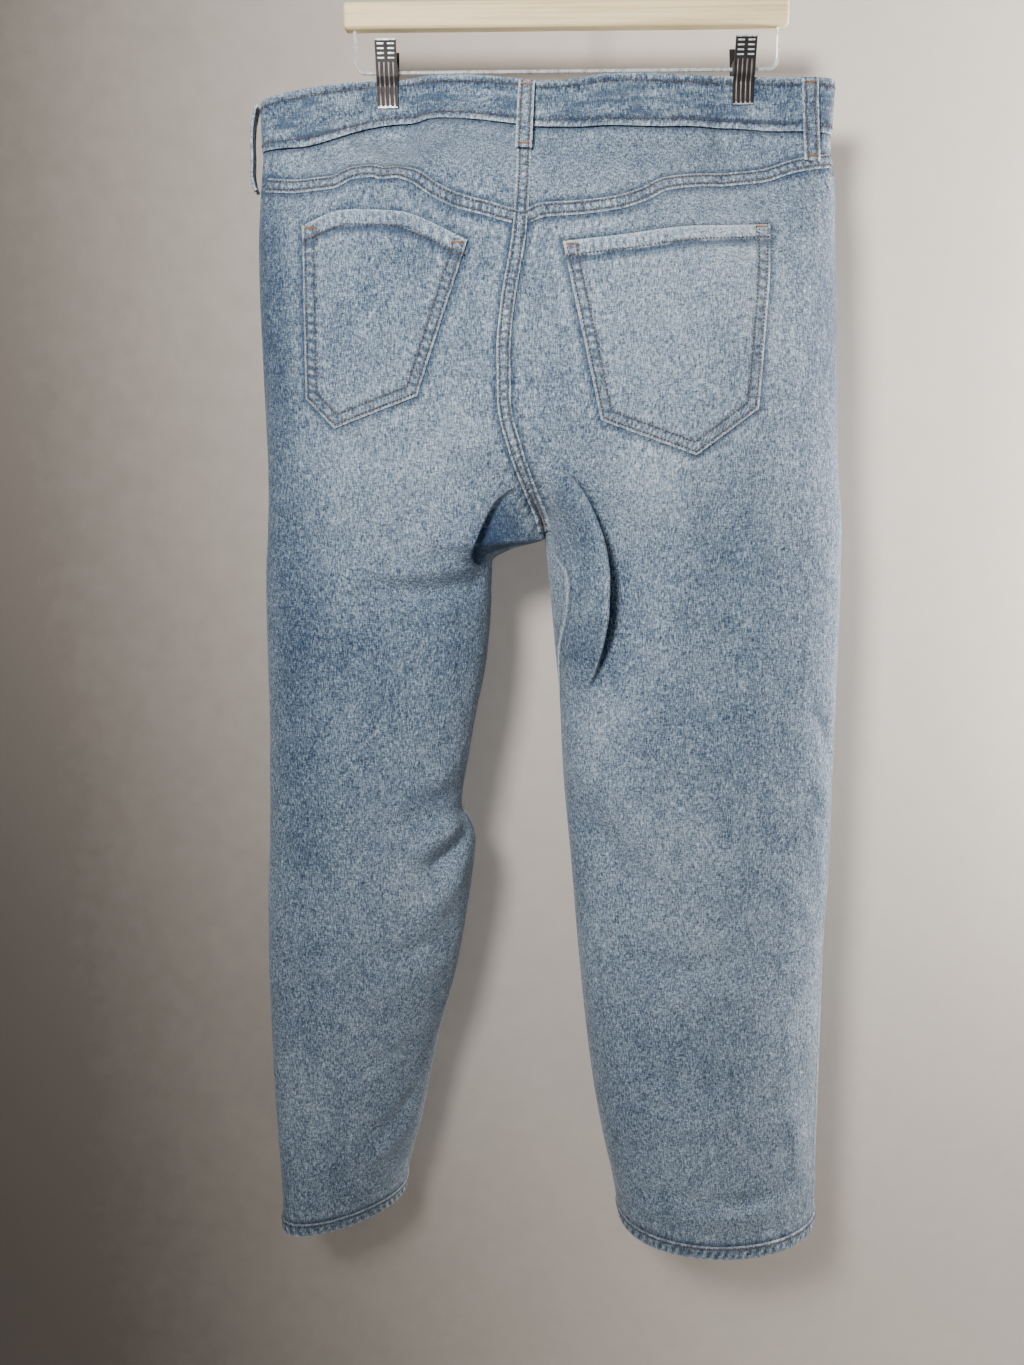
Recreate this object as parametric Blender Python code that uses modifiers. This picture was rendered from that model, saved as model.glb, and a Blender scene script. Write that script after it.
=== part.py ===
"""Loose fit jeans, hung by the waistband from the two clips of a wooden hanger.

The back of the jeans faces -Y and the wearer's left is -X. The origin is where the hook rests on
a rail: the inside top of its crook. Tables and sizes are in millimetres, and meshes in metres.
"""

import math
from collections import namedtuple

import bmesh
import bpy
import numpy as np

MM = 0.001
LEFT, RIGHT = -1, 1

# Cloth
WALL = 1.4
SEAM_GAP = 0.3
BAND_GAP = 1.0
CLEAR = 0.4
BAND_PROUD = 0.9
BAND_WALL = 3.0
STRIP_WALL = 1.0
STRIP_WIDTH = 11.0
SEAT_CLEAR = 1.3
YOKE_SEAM_CLEAR = 1.7
SEAM_FROM_SIDE = 7.0
POCKET_WALL = 1.5
POCKET_CLEAR = 0.8
POCKET_HEM = 12.0
POCKET_HEM_PROUD = 0.6
LOOP_WALL = 2.0
LOOP_WIDTH = 13.0
LOOP_BOW = 3.0
HEM_HEIGHT = 13.0
HEM_WALL = 3.4
HEM_PROUD = 0.9
HEM_LEVEL = -1151.0
HEM_COLUMNS = 44

# How full a section is: 1 is an ellipse, and less is squarer
FULLNESS = 0.85
# How far above the crotch the centre seams start to turn under
BACK_RISE_CURVE = 140.0
FRONT_RISE_CURVE = 120.0
# How far above the crotch the trunk starts to close into two legs
SADDLE = 90.0
# How sharply the flattened waist closes at its two side folds
FOLD_SHARPNESS = 28.0
CROTCH = -499.0
# How far from a seam the folds fade out, so that the panels on both sides agree there
SEAM_CALM = 14.0

# The trunk: side outlines, centre seams, how far the back and front stand from the middle, and
# how wide the rounding is from a side outline to the full depth
TrunkRow = namedtuple("TrunkRow", "z left_out right_out back_seam front_seam back front roll")
TRUNK = [
    TrunkRow(-125, -247, 217, -32, -18, 36, 26, 120),
    TrunkRow(-182, -247, 215, -35, -18, 42, 32, 120),
    TrunkRow(-212, -250, 219, -36, -18, 47, 36, 120),
    TrunkRow(-262, -254, 221, -40, -18, 52, 40, 120),
    TrunkRow(-311, -255, 224, -49, -18, 56, 42, 120),
    TrunkRow(-350, -255, 226, -53, -18, 58, 43, 120),
    TrunkRow(-387, -255, 228, -53, -18, 59, 43, 120),
    TrunkRow(-427, -255, 230, -44, -18, 58, 42, 120),
    TrunkRow(-459, -256, 233, -32, -18, 57, 41, 119),
    TrunkRow(-487, -258, 236, -21, -18, 55, 40, 118),
    TrunkRow(-499, -259, 237, -19, -19, 54, 40, 117),
]

# Each leg below the crotch: its outer and inner outline with their depths, its fullness and roll
LegRow = namedtuple("LegRow", "z out inner y_out y_inner back front roll")
LEFT_LEG = [
    LegRow(-507, -260, -47, 0, 0, 54, 40, 110),
    LegRow(-518, -261, -65, 0, 0, 54, 40, 106),
    LegRow(-562, -263, -67, 0, 0, 54, 40, 100),
    LegRow(-607, -264, -72, 0, 0, 54, 40, 96),
    LegRow(-655, -265, -82, 1, 0, 53, 40, 91),
    LegRow(-693, -267, -89, 1, 0, 52, 40, 88),
    LegRow(-737, -269, -96, 1, 2, 50, 40, 86),
    LegRow(-753, -270, -88, 1, 3, 49, 40, 87),
    LegRow(-770, -271, -84, 1, 4, 48, 40, 89),
    LegRow(-792, -273, -86, 0, 5, 47, 42, 90),
    LegRow(-833, -275, -92, -2, 8, 46, 44, 90),
    LegRow(-899, -277, -104, -4, 15, 44, 48, 85),
    LegRow(-978, -277, -125, -7, 25, 42, 54, 75),
    LegRow(-1074, -275, -145, -10, 33, 40, 60, 63),
    LegRow(-1115, -274, -156, -11, 37, 39, 62, 58),
    LegRow(-1151, -275, -162, -12, 42, 38, 62, 55),
]
RIGHT_LEG = [
    LegRow(-507, 237, -18, 0, 0, 54, 40, 122),
    LegRow(-518, 237, -17, 0, 0, 54, 40, 123),
    LegRow(-553, 238, -14, 0, 0, 55, 40, 125),
    LegRow(-590, 238, -11, 0, 0, 56, 40, 125),
    LegRow(-634, 238, -7, 0, 0, 57, 40, 123),
    LegRow(-701, 238, -4, 0, 0, 58, 38, 121),
    LegRow(-797, 238, 4, 0, 0, 59, 36, 117),
    LegRow(-874, 236, 10, 0, 0, 61, 34, 113),
    LegRow(-1007, 237, 24, 1, 0, 66, 32, 106),
    LegRow(-1076, 238, 36, 3, 0, 69, 31, 101),
    LegRow(-1103, 239, 42, 4, 0, 70, 30, 98),
    LegRow(-1151, 240, 50, 6, 0, 72, 30, 95),
]

# Where the side seam runs, as the turn round a section: 90 is the outline itself
TurnRow = namedtuple("TurnRow", "z left right")
SIDE_SEAM = [
    TurnRow(-130, 99, 92),
    TurnRow(-260, 97, 91),
    TurnRow(-500, 93, 86),
    TurnRow(-900, 90, 75),
    TurnRow(-1151, 88, 67),
]
# How far past the inner outline the inseam turns towards the back
INSEAM = [
    TurnRow(-499, 0, 0),
    TurnRow(-515, 0, 20),
    TurnRow(-530, 0, 27),
    TurnRow(-553, 0, 25),
    TurnRow(-607, 0, 8),
    TurnRow(-650, 0, 0),
]

# The waist: its top and bottom edges, how deep the flattened loop is, and how far below its top
# edge the cloth keeps that depth (hold) before it swells to the trunk's (settle)
WaistRow = namedtuple("WaistRow", "x top bottom front_top back front hold settle")
WAIST = [
    WaistRow(-250, -149, -186, -149, 12, 12, 8, 120),
    WaistRow(-214, -142, -186, -143, 12, 12, 8, 110),
    WaistRow(-180, -136, -178, -138, 8, 9, 12, 90),
    WaistRow(-158, -133, -168, -134, 2.6, 2.6, 33, 60),
    WaistRow(-130, -132, -165, -134, 2.6, 2.6, 33, 60),
    WaistRow(-110, -131, -165, -136, 8, 6, 14, 70),
    WaistRow(-80, -133, -168, -141, 14, 9, 4, 80),
    WaistRow(-43, -138, -173, -147, 20, 12, 0, 100),
    WaistRow(-17, -141, -176, -149, 22, 13, 0, 110),
    WaistRow(5, -139, -176, -148, 21, 12, 0, 120),
    WaistRow(34, -134, -174, -144, 17, 9, 0, 130),
    WaistRow(70, -132, -173, -139, 11, 7, 4, 140),
    WaistRow(108, -132, -171, -136, 6, 5, 16, 150),
    WaistRow(127, -132, -171, -134, 2.6, 2.6, 24, 150),
    WaistRow(157, -133, -173, -134, 2.6, 2.6, 24, 150),
    WaistRow(188, -135, -176, -136, 8, 8, 12, 130),
    WaistRow(217, -136, -177, -136, 10, 10, 8, 120),
]
FRONT_BAND = 38.0

# The seam under each yoke: its middle line
SeamRow = namedtuple("SeamRow", "x z")
YOKE_SEAM = [
    SeamRow(-252, -212),
    SeamRow(-211, -219),
    SeamRow(-186, -219),
    SeamRow(-170, -213),
    SeamRow(-154, -212),
    SeamRow(-146, -214),
    SeamRow(-136, -213),
    SeamRow(-122, -217),
    SeamRow(-105, -228),
    SeamRow(-88, -236),
    SeamRow(-66, -242),
    SeamRow(-36, -249),
    SeamRow(-22, -244),
    SeamRow(7, -242),
    SeamRow(37, -238),
    SeamRow(58, -231),
    SeamRow(75, -222),
    SeamRow(100, -217),
    SeamRow(129, -214),
    SeamRow(156, -211),
    SeamRow(180, -205),
    SeamRow(218, -198),
]

# A soft ridge (height above 0) or trough (below 0) along a path of x, z points
Fold = namedtuple("Fold", "leg face height width path")
BACK, FRONT = 1, -1
FOLDS = [
    Fold(LEFT, BACK, -7, 9, [(-72, -748), (-96, -768), (-126, -790)]),
    Fold(LEFT, BACK, 5, 12, [(-80, -730), (-108, -752), (-140, -772)]),
    Fold(LEFT, BACK, 4, 12, [(-84, -786), (-112, -812), (-130, -840)]),
    Fold(LEFT, BACK, 3, 9, [(-140, -1040), (-162, -1062), (-188, -1084)]),
    Fold(LEFT, BACK, -3, 9, [(-130, -1012), (-156, -1040), (-180, -1062)]),
    Fold(LEFT, BACK, -4, 12, [(-62, -533), (-110, -541), (-168, -538)]),
    Fold(LEFT, BACK, 3, 12, [(-157, -184), (-159, -194), (-158, -203)]),
    Fold(LEFT, BACK, -2, 10, [(-137, -184), (-138, -193), (-137, -202)]),
    Fold(LEFT, FRONT, -20, 26, [(-196, -740), (-212, -900), (-222, -1010), (-224, -1180)]),
    Fold(LEFT, FRONT, -6, 14, [(-60, -520), (-120, -560), (-190, -580)]),
    Fold(LEFT, FRONT, 5, 20, [(-90, -740), (-160, -790), (-220, -810)]),
    Fold(RIGHT, BACK, 4, 22, [(6, -688), (50, -730), (96, -776)]),
    Fold(RIGHT, BACK, -3, 16, [(4, -730), (40, -770), (70, -810)]),
    Fold(RIGHT, BACK, 4, 24, [(28, -640), (62, -662), (92, -700)]),
    Fold(RIGHT, BACK, -2, 7, [(72, -1092), (120, -1095), (190, -1092)]),
    Fold(RIGHT, FRONT, -6, 14, [(20, -520), (80, -560), (150, -580)]),
    Fold(RIGHT, FRONT, 5, 20, [(20, -720), (100, -790), (200, -820)]),
    Fold(RIGHT, FRONT, -5, 16, [(60, -1010), (120, -1040), (200, -1060)]),
]

# A lap: the cloth stands up along an edge and falls back under it, on the side of larger x
LapPoint = namedtuple("LapPoint", "x z height")
LEFT_LAP = [
    LapPoint(-34, -452, 0),
    LapPoint(-44, -461, 5),
    LapPoint(-58, -467, 8),
    LapPoint(-69, -481, 10),
    LapPoint(-77, -498, 11),
    LapPoint(-82, -511, 11),
    LapPoint(-77, -519, 8),
    LapPoint(-62, -522, 3),
]
RIGHT_LAP = [
    LapPoint(-18, -439, 0),
    LapPoint(-2, -446, 8),
    LapPoint(9, -459, 15),
    LapPoint(19, -479, 20),
    LapPoint(27, -502, 22),
    LapPoint(31, -530, 22),
    LapPoint(31, -557, 22),
    LapPoint(28, -584, 19),
    LapPoint(20, -612, 12),
    LapPoint(4, -640, 0),
]
LAP_STEPS = 28
LAP_FALL = 10.0
LAP_LEAN = 2.0
LapShape = namedtuple("LapShape", "rise recess reach")
LAP_SHAPES = {LEFT: LapShape(34.0, 0.7, 26.0), RIGHT: LapShape(30.0, 0.3, 40.0)}

# Patch pockets: corners in order top left, top middle, top right, then down the right side,
# the tip, and up the left side
PocketPlan = namedtuple("PocketPlan", "top right_foot tip left_foot")
POCKETS = {
    LEFT: PocketPlan([(-210, -252), (-176, -242), (-136, -244), (-80, -266)],
                     (-122, -384), (-189, -408), (-212, -384)),
    RIGHT: PocketPlan([(-6, -268), (44, -263), (100, -256), (160, -253)],
                      (150, -396), (101, -432), (24, -404)),
}

# Belt loops: the middle of the top and bottom ends
LoopPlan = namedtuple("LoopPlan", "name leg face top bottom")
LOOPS = [
    LoopPlan("loop_back_centre", RIGHT, BACK, (-32, -142), (-36, -196)),
    LoopPlan("loop_back_right", RIGHT, BACK, (194, -137), (195, -202)),
    LoopPlan("loop_front_left", LEFT, FRONT, (-108, -139), (-109, -185)),
    LoopPlan("loop_front_right", RIGHT, FRONT, (98, -139), (99, -186)),
]
SIDE_LOOP_TOP, SIDE_LOOP_BOTTOM = -150.0, -215.0
SIDE_LOOP_BOW = 6.0

# Front pieces: scooped pocket mouths, the fly and its zip
MOUTH_WIDTH = 100.0
MOUTH_DEPTH = 86.0
FACING_LAP = 14.0
FACING_RECESS, FACING_SINKS = WALL + 0.9, 2.4
SIDE_MARGIN = 1.2
COIN_WIDTH, COIN_TOP, COIN_WALL = 50.0, 30.0, 0.8
COIN_FROM_SIDE, COIN_CLEAR, COIN_STANDS = 16.0, 2.5, 0.7
FLY_WIDTH, FLY_HEIGHT, FLY_CLEAR = 38.0, 165.0, 1.0
ZIP_WIDTH, ZIP_HEIGHT, ZIP_WALL = 26.0, 140.0, 1.2
ZIP_RECESS = WALL + 2.4
BUTTON_RADIUS, BUTTON_HEIGHT, BUTTON_STANDS = 8.5, 3.2, 1.4
BAND_END_FROM_SEAM = 22.0
BAND_LEVEL = -150.0
FOLD_STEP = 2.0

# Hanger
BAR_LENGTH, BAR_THICK, BAR_HEIGHT = 355.0, 12.0, 20.0
BAR_TOP = -75.0
BAR_EDGE = 3.0
HOOK_WIRE = 3.6
HOOK_INSIDE = 20.0
HOOK_FILLET = 8.0
HOOK_FROM, HOOK_TO = -68.0, 205.0
WIRE = 3.0
WIRE_HALF_SPAN = 169.5
WIRE_LEVEL = -126.0
WIRE_BEND = 8.0
CLIPS = {"left": -144.0, "right": 142.0}
CLIP_WIDTH, CLIP_SHEET = 17.0, 1.2
CLIP_TOP, CLIP_TIP = -106.0, -153.5
# The jaw's sheet from its tip up: how far it is from the middle plane at each height
JawRow = namedtuple("JawRow", "y z")
JAW = [
    JawRow(4.5, CLIP_TIP),
    JawRow(4.5, -137.0),
    JawRow(7.2, -131.0),
    JawRow(9.4, -120.0),
    JawRow(13.0, CLIP_TOP),
]
EAR_HALF = 4.6
EAR_REACH = 3.4
EAR_STEP = 1.6
WIRE_HOLE = 2.0
SPRING_RADIUS = 3.6

Finish = namedtuple("Finish", "colour roughness metallic")
FINISHES = {
    "denim": Finish((0.26, 0.33, 0.42), 0.9, 0.0),
    "pocket_lining": Finish((0.7, 0.68, 0.62), 0.9, 0.0),
    "wood": Finish((0.74, 0.62, 0.42), 0.5, 0.0),
    "chrome": Finish((0.7, 0.7, 0.72), 0.15, 1.0),
    "gunmetal": Finish((0.22, 0.21, 0.22), 0.3, 1.0),
    "button_metal": Finish((0.45, 0.3, 0.2), 0.35, 1.0),
}


def along(rows, field, at):
    """A column of a table at any place, on a curve through its rows that never overshoots.

    The table's first column is the place. It may run down, as heights do.
    """
    place = np.array([row[0] for row in rows], float)
    value = np.array([getattr(row, field) for row in rows], float)
    if place[0] > place[-1]:
        place, value = place[::-1], value[::-1]
    step = np.diff(place)
    slope = np.diff(value) / step
    lean = np.concatenate([slope[:1], np.zeros(len(slope) - 1), slope[-1:]])
    same = slope[1:] * slope[:-1] > 0
    first = (2 * step[1:] + step[:-1])[same]
    second = (step[1:] + 2 * step[:-1])[same]
    lean[1:-1][same] = (first + second) / (first / slope[:-1][same] + second / slope[1:][same])
    at = np.clip(np.asarray(at, float), place[0], place[-1])
    i = np.clip(np.searchsorted(place, at) - 1, 0, len(step) - 1)
    f = (at - place[i]) / step[i]
    rise = value[i + 1] - value[i]
    curve = f * f * (3 - 2 * f) * rise
    bend = step[i] * (f * (1 - f) ** 2 * lean[i] - f * f * (1 - f) * lean[i + 1])
    return value[i] + curve + bend


def ease(f):
    """0 below 0, 1 above 1, and a smooth step between."""
    f = np.clip(f, 0.0, 1.0)
    return f * f * (3 - 2 * f)


def rounding(gap, roll):
    """0 at an outline and 1 from a roll's width in, round between."""
    return (1.0 - (1.0 - np.clip(gap / roll, 0, 1)) ** 2) ** (FULLNESS / 2)


def path_distance(x, z, path):
    """How far x, z lies from a path, its signed side, and the nearest place's share of the path."""
    best = np.full(np.shape(x), np.inf)
    place, side = np.zeros(np.shape(x)), np.ones(np.shape(x))
    steps = len(path) - 1
    for i in range(steps):
        (ax, az), (bx, bz) = path[i], path[i + 1]
        dx, dz = bx - ax, bz - az
        f = np.clip(((x - ax) * dx + (z - az) * dz) / (dx * dx + dz * dz), 0, 1)
        gap = np.hypot(x - ax - f * dx, z - az - f * dz)
        nearer = gap < best
        turned = np.sign((x - ax) * -dz + (z - az) * dx)
        place = np.where(nearer, (i + f) / steps, place)
        side = np.where(nearer, turned, side)
        best = np.where(nearer, gap, best)
    return best, side, place


class Lap:
    """The smooth edge of a lap, with its height at each place."""

    def __init__(self, points, shape):
        rows = [(i, *point) for i, point in enumerate(points)]
        Place = namedtuple("Place", "order x z height")
        rows = [Place(*row) for row in rows]
        order = np.linspace(0, len(rows) - 1, LAP_STEPS)
        self.path = list(zip(along(rows, "x", order), along(rows, "z", order)))
        self.heights = along(rows, "height", order)
        self.shape = shape
        self.top, self.foot = self.path[0][1], self.path[-1][1]

    def edge_at(self, z):
        """The x of the lap's edge at a height."""
        xs, zs = np.array(self.path).T
        return np.interp(-np.asarray(z, float), -zs, xs)

    def at(self, x, z):
        """How far the lap lifts the cloth, and how far it leans it across the edge, in x and z."""
        gap, side, place = path_distance(x, z, self.path)
        height = np.interp(place, np.linspace(0, 1, LAP_STEPS), self.heights)
        xs, zs = np.array(self.path).T
        share = np.linspace(0, 1, LAP_STEPS)
        run_x = np.interp(place, share, np.gradient(xs))
        run_z = np.interp(place, share, np.gradient(zs))
        length = np.hypot(run_x, run_z)
        across_x, across_z = -run_z / length, run_x / length
        q = gap * side
        before = np.exp(-((q / self.shape.rise) ** 2))
        past = np.clip(q - LAP_FALL, 0, None)
        recess = -self.shape.recess * np.exp(-((past / self.shape.reach) ** 2))
        fall = ease((q + LAP_FALL) / (2 * LAP_FALL))
        lift = height * (np.where(q < 0, before, 1.0) * (1 - fall) + recess * fall)
        strength = height / self.heights.max()
        lean = -LAP_LEAN * strength * np.sin(np.pi * np.clip(q / LAP_FALL, -1, 1))
        return lift, lean * across_x, lean * across_z


class Half:
    """One leg with its half of the trunk: the surface that its back, front and yoke lie on.

    A place on it is a turn, in degrees, and a height. The turn is 0 at the middle of the back,
    90 at the side outline, 180 at the middle of the front and -90 at the inner outline.
    """

    def __init__(self, side):
        self.side = side
        self.name = "left" if side == LEFT else "right"
        legs = LEFT_LEG if side == LEFT else RIGHT_LEG
        Row = namedtuple("Row", "z out back_inner front_inner y_out y_inner back front roll")
        trunk = [
            Row(r.z, r.left_out if side == LEFT else r.right_out, r.back_seam, r.front_seam,
                0, 0, r.back, r.front, r.roll)
            for r in TRUNK
        ]
        self.rows = trunk + [
            Row(r.z, r.out, r.inner, r.inner, r.y_out, r.y_inner, r.back, r.front, r.roll)
            for r in legs
        ]
        self.lap = Lap(LEFT_LAP if side == LEFT else RIGHT_LAP, LAP_SHAPES[side])
        self.folds = [fold for fold in FOLDS if fold.leg == side]

    def column(self, field, z):
        """One column of this half's table at a height."""
        return along(self.rows, field, z)

    def rise_turn(self, z, reach):
        """The turn of a centre seam: 0 high on the trunk, and -90 at the crotch and below."""
        up = np.clip((z - CROTCH) / reach, 0.0, 1.0)
        return -90.0 * (1.0 - np.sqrt(up)) ** 2

    def seams(self, z):
        """The turns of the back's inner edge, the side seam and the front's inner edge."""
        z = np.asarray(z, float)
        past = np.where(z <= CROTCH, along(INSEAM, self.name, z), 0.0)
        back = self.rise_turn(z, BACK_RISE_CURVE) + past
        front = 180.0 - self.rise_turn(z, FRONT_RISE_CURVE) + past
        return back, along(SIDE_SEAM, self.name, z), front

    def section(self, z, on_back):
        """The middle and the half width of a section, as the given face has them."""
        out = self.column("out", z)
        inner = np.where(on_back, self.column("back_inner", z), self.column("front_inner", z))
        reach = np.where(on_back, BACK_RISE_CURVE, FRONT_RISE_CURVE)
        width = (out - inner) / (1.0 - np.sin(np.radians(self.rise_turn(z, reach))))
        return out - width, width

    def depth_share(self, x, z, on_back):
        """How much of the full depth the surface has at an x."""
        roll = self.column("roll", z)
        from_out, from_inner = self.from_seams(x, z, on_back)
        closed = 1.0 - np.sqrt(1.0 - np.clip(1.0 - (z - CROTCH) / SADDLE, 0.0, 1.0) ** 2)
        return rounding(from_out, roll) * (1.0 - closed * (1.0 - rounding(from_inner, roll)))

    def from_seams(self, x, z, on_back):
        """How far an x is from the side outline, and from the centre seam or inner outline."""
        inner = np.where(on_back, self.column("back_inner", z), self.column("front_inner", z))
        return np.abs(self.column("out", z) - x), np.abs(x - inner)

    def smooth_point(self, turn, z):
        """The surface without its folds."""
        turn, z = np.broadcast_arrays(np.asarray(turn, float), np.asarray(z, float))
        sine, cosine = np.sin(np.radians(turn)), np.cos(np.radians(turn))
        on_back = cosine >= 0
        middle, width = self.section(z, on_back)
        x = middle + width * sine
        full = np.where(on_back, -self.column("back", z), self.column("front", z))
        full = full * self.depth_share(x, z, on_back)
        flat = np.where(on_back, -along(WAIST, "back", x), along(WAIST, "front", x))
        flat = flat * np.sqrt(np.clip(1.0 - np.abs(sine) ** FOLD_SHARPNESS, 0, 1))
        top = np.where(on_back, along(WAIST, "top", x), along(WAIST, "front_top", x))
        drop = top - z - along(WAIST, "hold", x)
        swell = ease(drop / along(WAIST, "settle", x))
        out, inner = self.column("out", z), self.column("back_inner", z)
        share = np.clip((x - inner) / (out - inner), 0, 1)
        y_out, y_inner = self.column("y_out", z), self.column("y_inner", z)
        y = y_inner + (y_out - y_inner) * share + flat * (1 - swell) + full * swell
        return np.stack([x, y, z], -1)

    def outward(self, make, turn, z, step=0.4, drop=1.0):
        """The outward direction of a surface function at a place."""
        across = make(turn + step, z) - make(turn - step, z)
        down = make(turn, z - drop) - make(turn, z + drop)
        out = np.cross(across, down) * -self.side
        return out / np.linalg.norm(out, axis=-1, keepdims=True)

    def fold_height(self, x, z, on_back):
        """How far the soft folds stand out of the smooth surface."""
        height = np.zeros(np.shape(x))
        for fold in self.folds:
            gap, _side, place = path_distance(x, z, fold.path)
            taper = np.sqrt(np.clip(np.sin(np.pi * np.clip(place, 0.02, 0.98)), 0, 1))
            bump = fold.height * np.exp(-((gap / fold.width) ** 2)) * taper
            height += np.where(on_back == (fold.face == BACK), bump, 0.0)
        return height

    def point(self, turn, z):
        """The cloth's outer surface, folds and lap included."""
        turn, z = np.broadcast_arrays(np.asarray(turn, float), np.asarray(z, float))
        smooth = self.smooth_point(turn, z)
        out = self.outward(self.smooth_point, turn, z)
        on_back = np.cos(np.radians(turn)) >= 0
        from_out, from_inner = self.from_seams(smooth[..., 0], z, on_back)
        free = ease(from_out / SEAM_CALM) * ease(from_inner / SEAM_CALM)
        lift = self.fold_height(smooth[..., 0], z, on_back)
        lap, lean_x, lean_z = self.lap.at(smooth[..., 0], z)
        lapped = free * on_back
        point = smooth + out * (lift * free)[..., None]
        return point + np.stack([lean_x, -lap, lean_z], -1) * lapped[..., None]

    def lifted(self, turn, z, lift):
        """The cloth's surface moved outwards."""
        turn, z = np.broadcast_arrays(np.asarray(turn, float), np.asarray(z, float))
        lift = np.broadcast_to(np.asarray(lift, float), turn.shape)
        return self.point(turn, z) + self.outward(self.point, turn, z) * lift[..., None]

    def turn_at(self, x, z, face=BACK):
        """The turn where the smooth surface has this x."""
        on_back = np.full(np.shape(z), face == BACK)
        middle, width = self.section(np.asarray(z, float), on_back)
        turn = np.degrees(np.arcsin(np.clip((x - middle) / width, -1, 1)))
        return turn if face == BACK else 180.0 - turn


HALVES = {LEFT: Half(LEFT), RIGHT: Half(RIGHT)}


def centre_seam(face, z):
    """The x of the seam between the two halves, at a height above the crotch."""
    return along(TRUNK, "back_seam" if face == BACK else "front_seam", z)


def placed(face, x, z, lift):
    """Points over the trunk, at arrays of x and height, moved outwards."""
    x, z, lift = np.broadcast_arrays(*(np.asarray(v, float) for v in (x, z, lift)))
    sides = [half.lifted(half.turn_at(x, z, face), z, lift) for half in HALVES.values()]
    return np.where((x < centre_seam(face, z))[..., None], *sides)


def outward_at(face, x, z):
    """The outward direction of the trunk at an x and a height."""
    out = placed(face, x, z, 1.0) - placed(face, x, z, 0.0)
    return out / np.linalg.norm(out)


def band_bottom(x, face):
    """The height of the waistband's lower edge."""
    if face == BACK:
        return along(WAIST, "bottom", x)
    return along(WAIST, "front_top", x) - FRONT_BAND


def collection(name):
    """The collection of that name, made on first use."""
    if name not in bpy.data.collections:
        bpy.context.scene.collection.children.link(bpy.data.collections.new(name))
    return bpy.data.collections[name]


def finish(name):
    """The material of that name, made on first use."""
    if name not in bpy.data.materials:
        material = bpy.data.materials.new(name)
        material.use_nodes = True
        shader = material.node_tree.nodes["Principled BSDF"]
        look = FINISHES[name]
        shader.inputs["Base Color"].default_value = (*look.colour, 1.0)
        shader.inputs["Roughness"].default_value = look.roughness
        shader.inputs["Metallic"].default_value = look.metallic
    return bpy.data.materials[name]


def add(name, mesh, material):
    """Puts a mesh into the jeans' collection as a named piece with its finish."""
    mesh.materials.clear()
    mesh.materials.append(finish(material))
    mesh.shade_smooth()
    mesh.set_sharp_from_angle(angle=math.radians(40))
    piece = bpy.data.objects.new(name, mesh)
    collection("loose_fit_jeans").objects.link(piece)
    return piece


def wall_mesh(name, outer, inner, closed=False):
    """A cloth wall between an outer and an inner grid of points, rows by columns.

    A closed wall joins its last column to its first, as round a leg.
    """
    rows, columns = outer.shape[:2]
    count = rows * columns
    points = np.concatenate([outer.reshape(-1, 3), inner.reshape(-1, 3)]) * MM
    faces = []
    spans = columns if closed else columns - 1
    for r in range(rows - 1):
        for c in range(spans):
            a, b = r * columns + c, r * columns + (c + 1) % columns
            d, e = a + columns, b + columns
            faces.append((a, b, e, d))
            faces.append((count + a, count + d, count + e, count + b))
    for c in range(spans):
        a, b = c, (c + 1) % columns
        faces.append((a, count + a, count + b, b))
        a, b = a + (rows - 1) * columns, b + (rows - 1) * columns
        faces.append((a, b, count + b, count + a))
    if not closed:
        for r in range(rows - 1):
            a, d = r * columns, (r + 1) * columns
            faces.append((a, d, count + d, count + a))
            a, d = a + columns - 1, d + columns - 1
            faces.append((a, count + a, count + d, d))
    mesh = bpy.data.meshes.new(name)
    mesh.from_pydata([tuple(p) for p in points], [], faces)
    form = bmesh.new()
    form.from_mesh(mesh)
    bmesh.ops.triangulate(form, faces=form.faces[:])
    bmesh.ops.recalc_face_normals(form, faces=form.faces[:])
    form.to_mesh(mesh)
    form.free()
    return mesh


def cloth(name, half, turn, z, lift=0.0, wall=WALL, material="denim"):
    """A piece of cloth on a half's surface, over a grid of turns and heights."""
    outer = half.lifted(turn, z, lift)
    inner = half.lifted(turn, z, lift - wall)
    return add(name, wall_mesh(name, outer, inner), material)


# The heights of a panel's rows, closest where the cloth folds
BACK_ROWS = [
    -232, -258, -284, -312, -340, -370, -400, -424, -442, -455, -466, -477, -488, -499, -509,
    -519, -530, -543, -557, -572, -588, -604, -621, -642, -680, -718, -742, -758, -775, -795,
    -840, -900, -970, -1040, -1066, -1090, -1114,
]
FRONT_ROWS = [
    -232, -272, -314, -358, -402, -440, -466, -488, -499, -509, -519, -530, -543, -557, -572,
    -588, -604, -621, -642, -680, -718, -742, -758, -775, -795, -840, -900, -970, -1040, -1114,
]
FADE_ROWS = 4
BACK_COLUMNS, FRONT_COLUMNS = 18, 13
FRONT_GATHER = 1.4
GATHER = 5.0
GATHER_WIDTH = 0.05
GATHER_SPREAD = 110.0
EDGE_STEP = 0.0014


def gathered(count, centre, strength):
    """Shares from 0 to 1, closer together round a centre."""
    fine = np.linspace(0, 1, 400)
    density = 1.0 + GATHER * strength * np.exp(-(((fine - centre) / GATHER_WIDTH) ** 2))
    reach = np.concatenate([[0], np.cumsum((density[1:] + density[:-1]) / 2)])
    return np.interp(np.linspace(0, 1, count), reach / reach[-1], fine)


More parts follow.
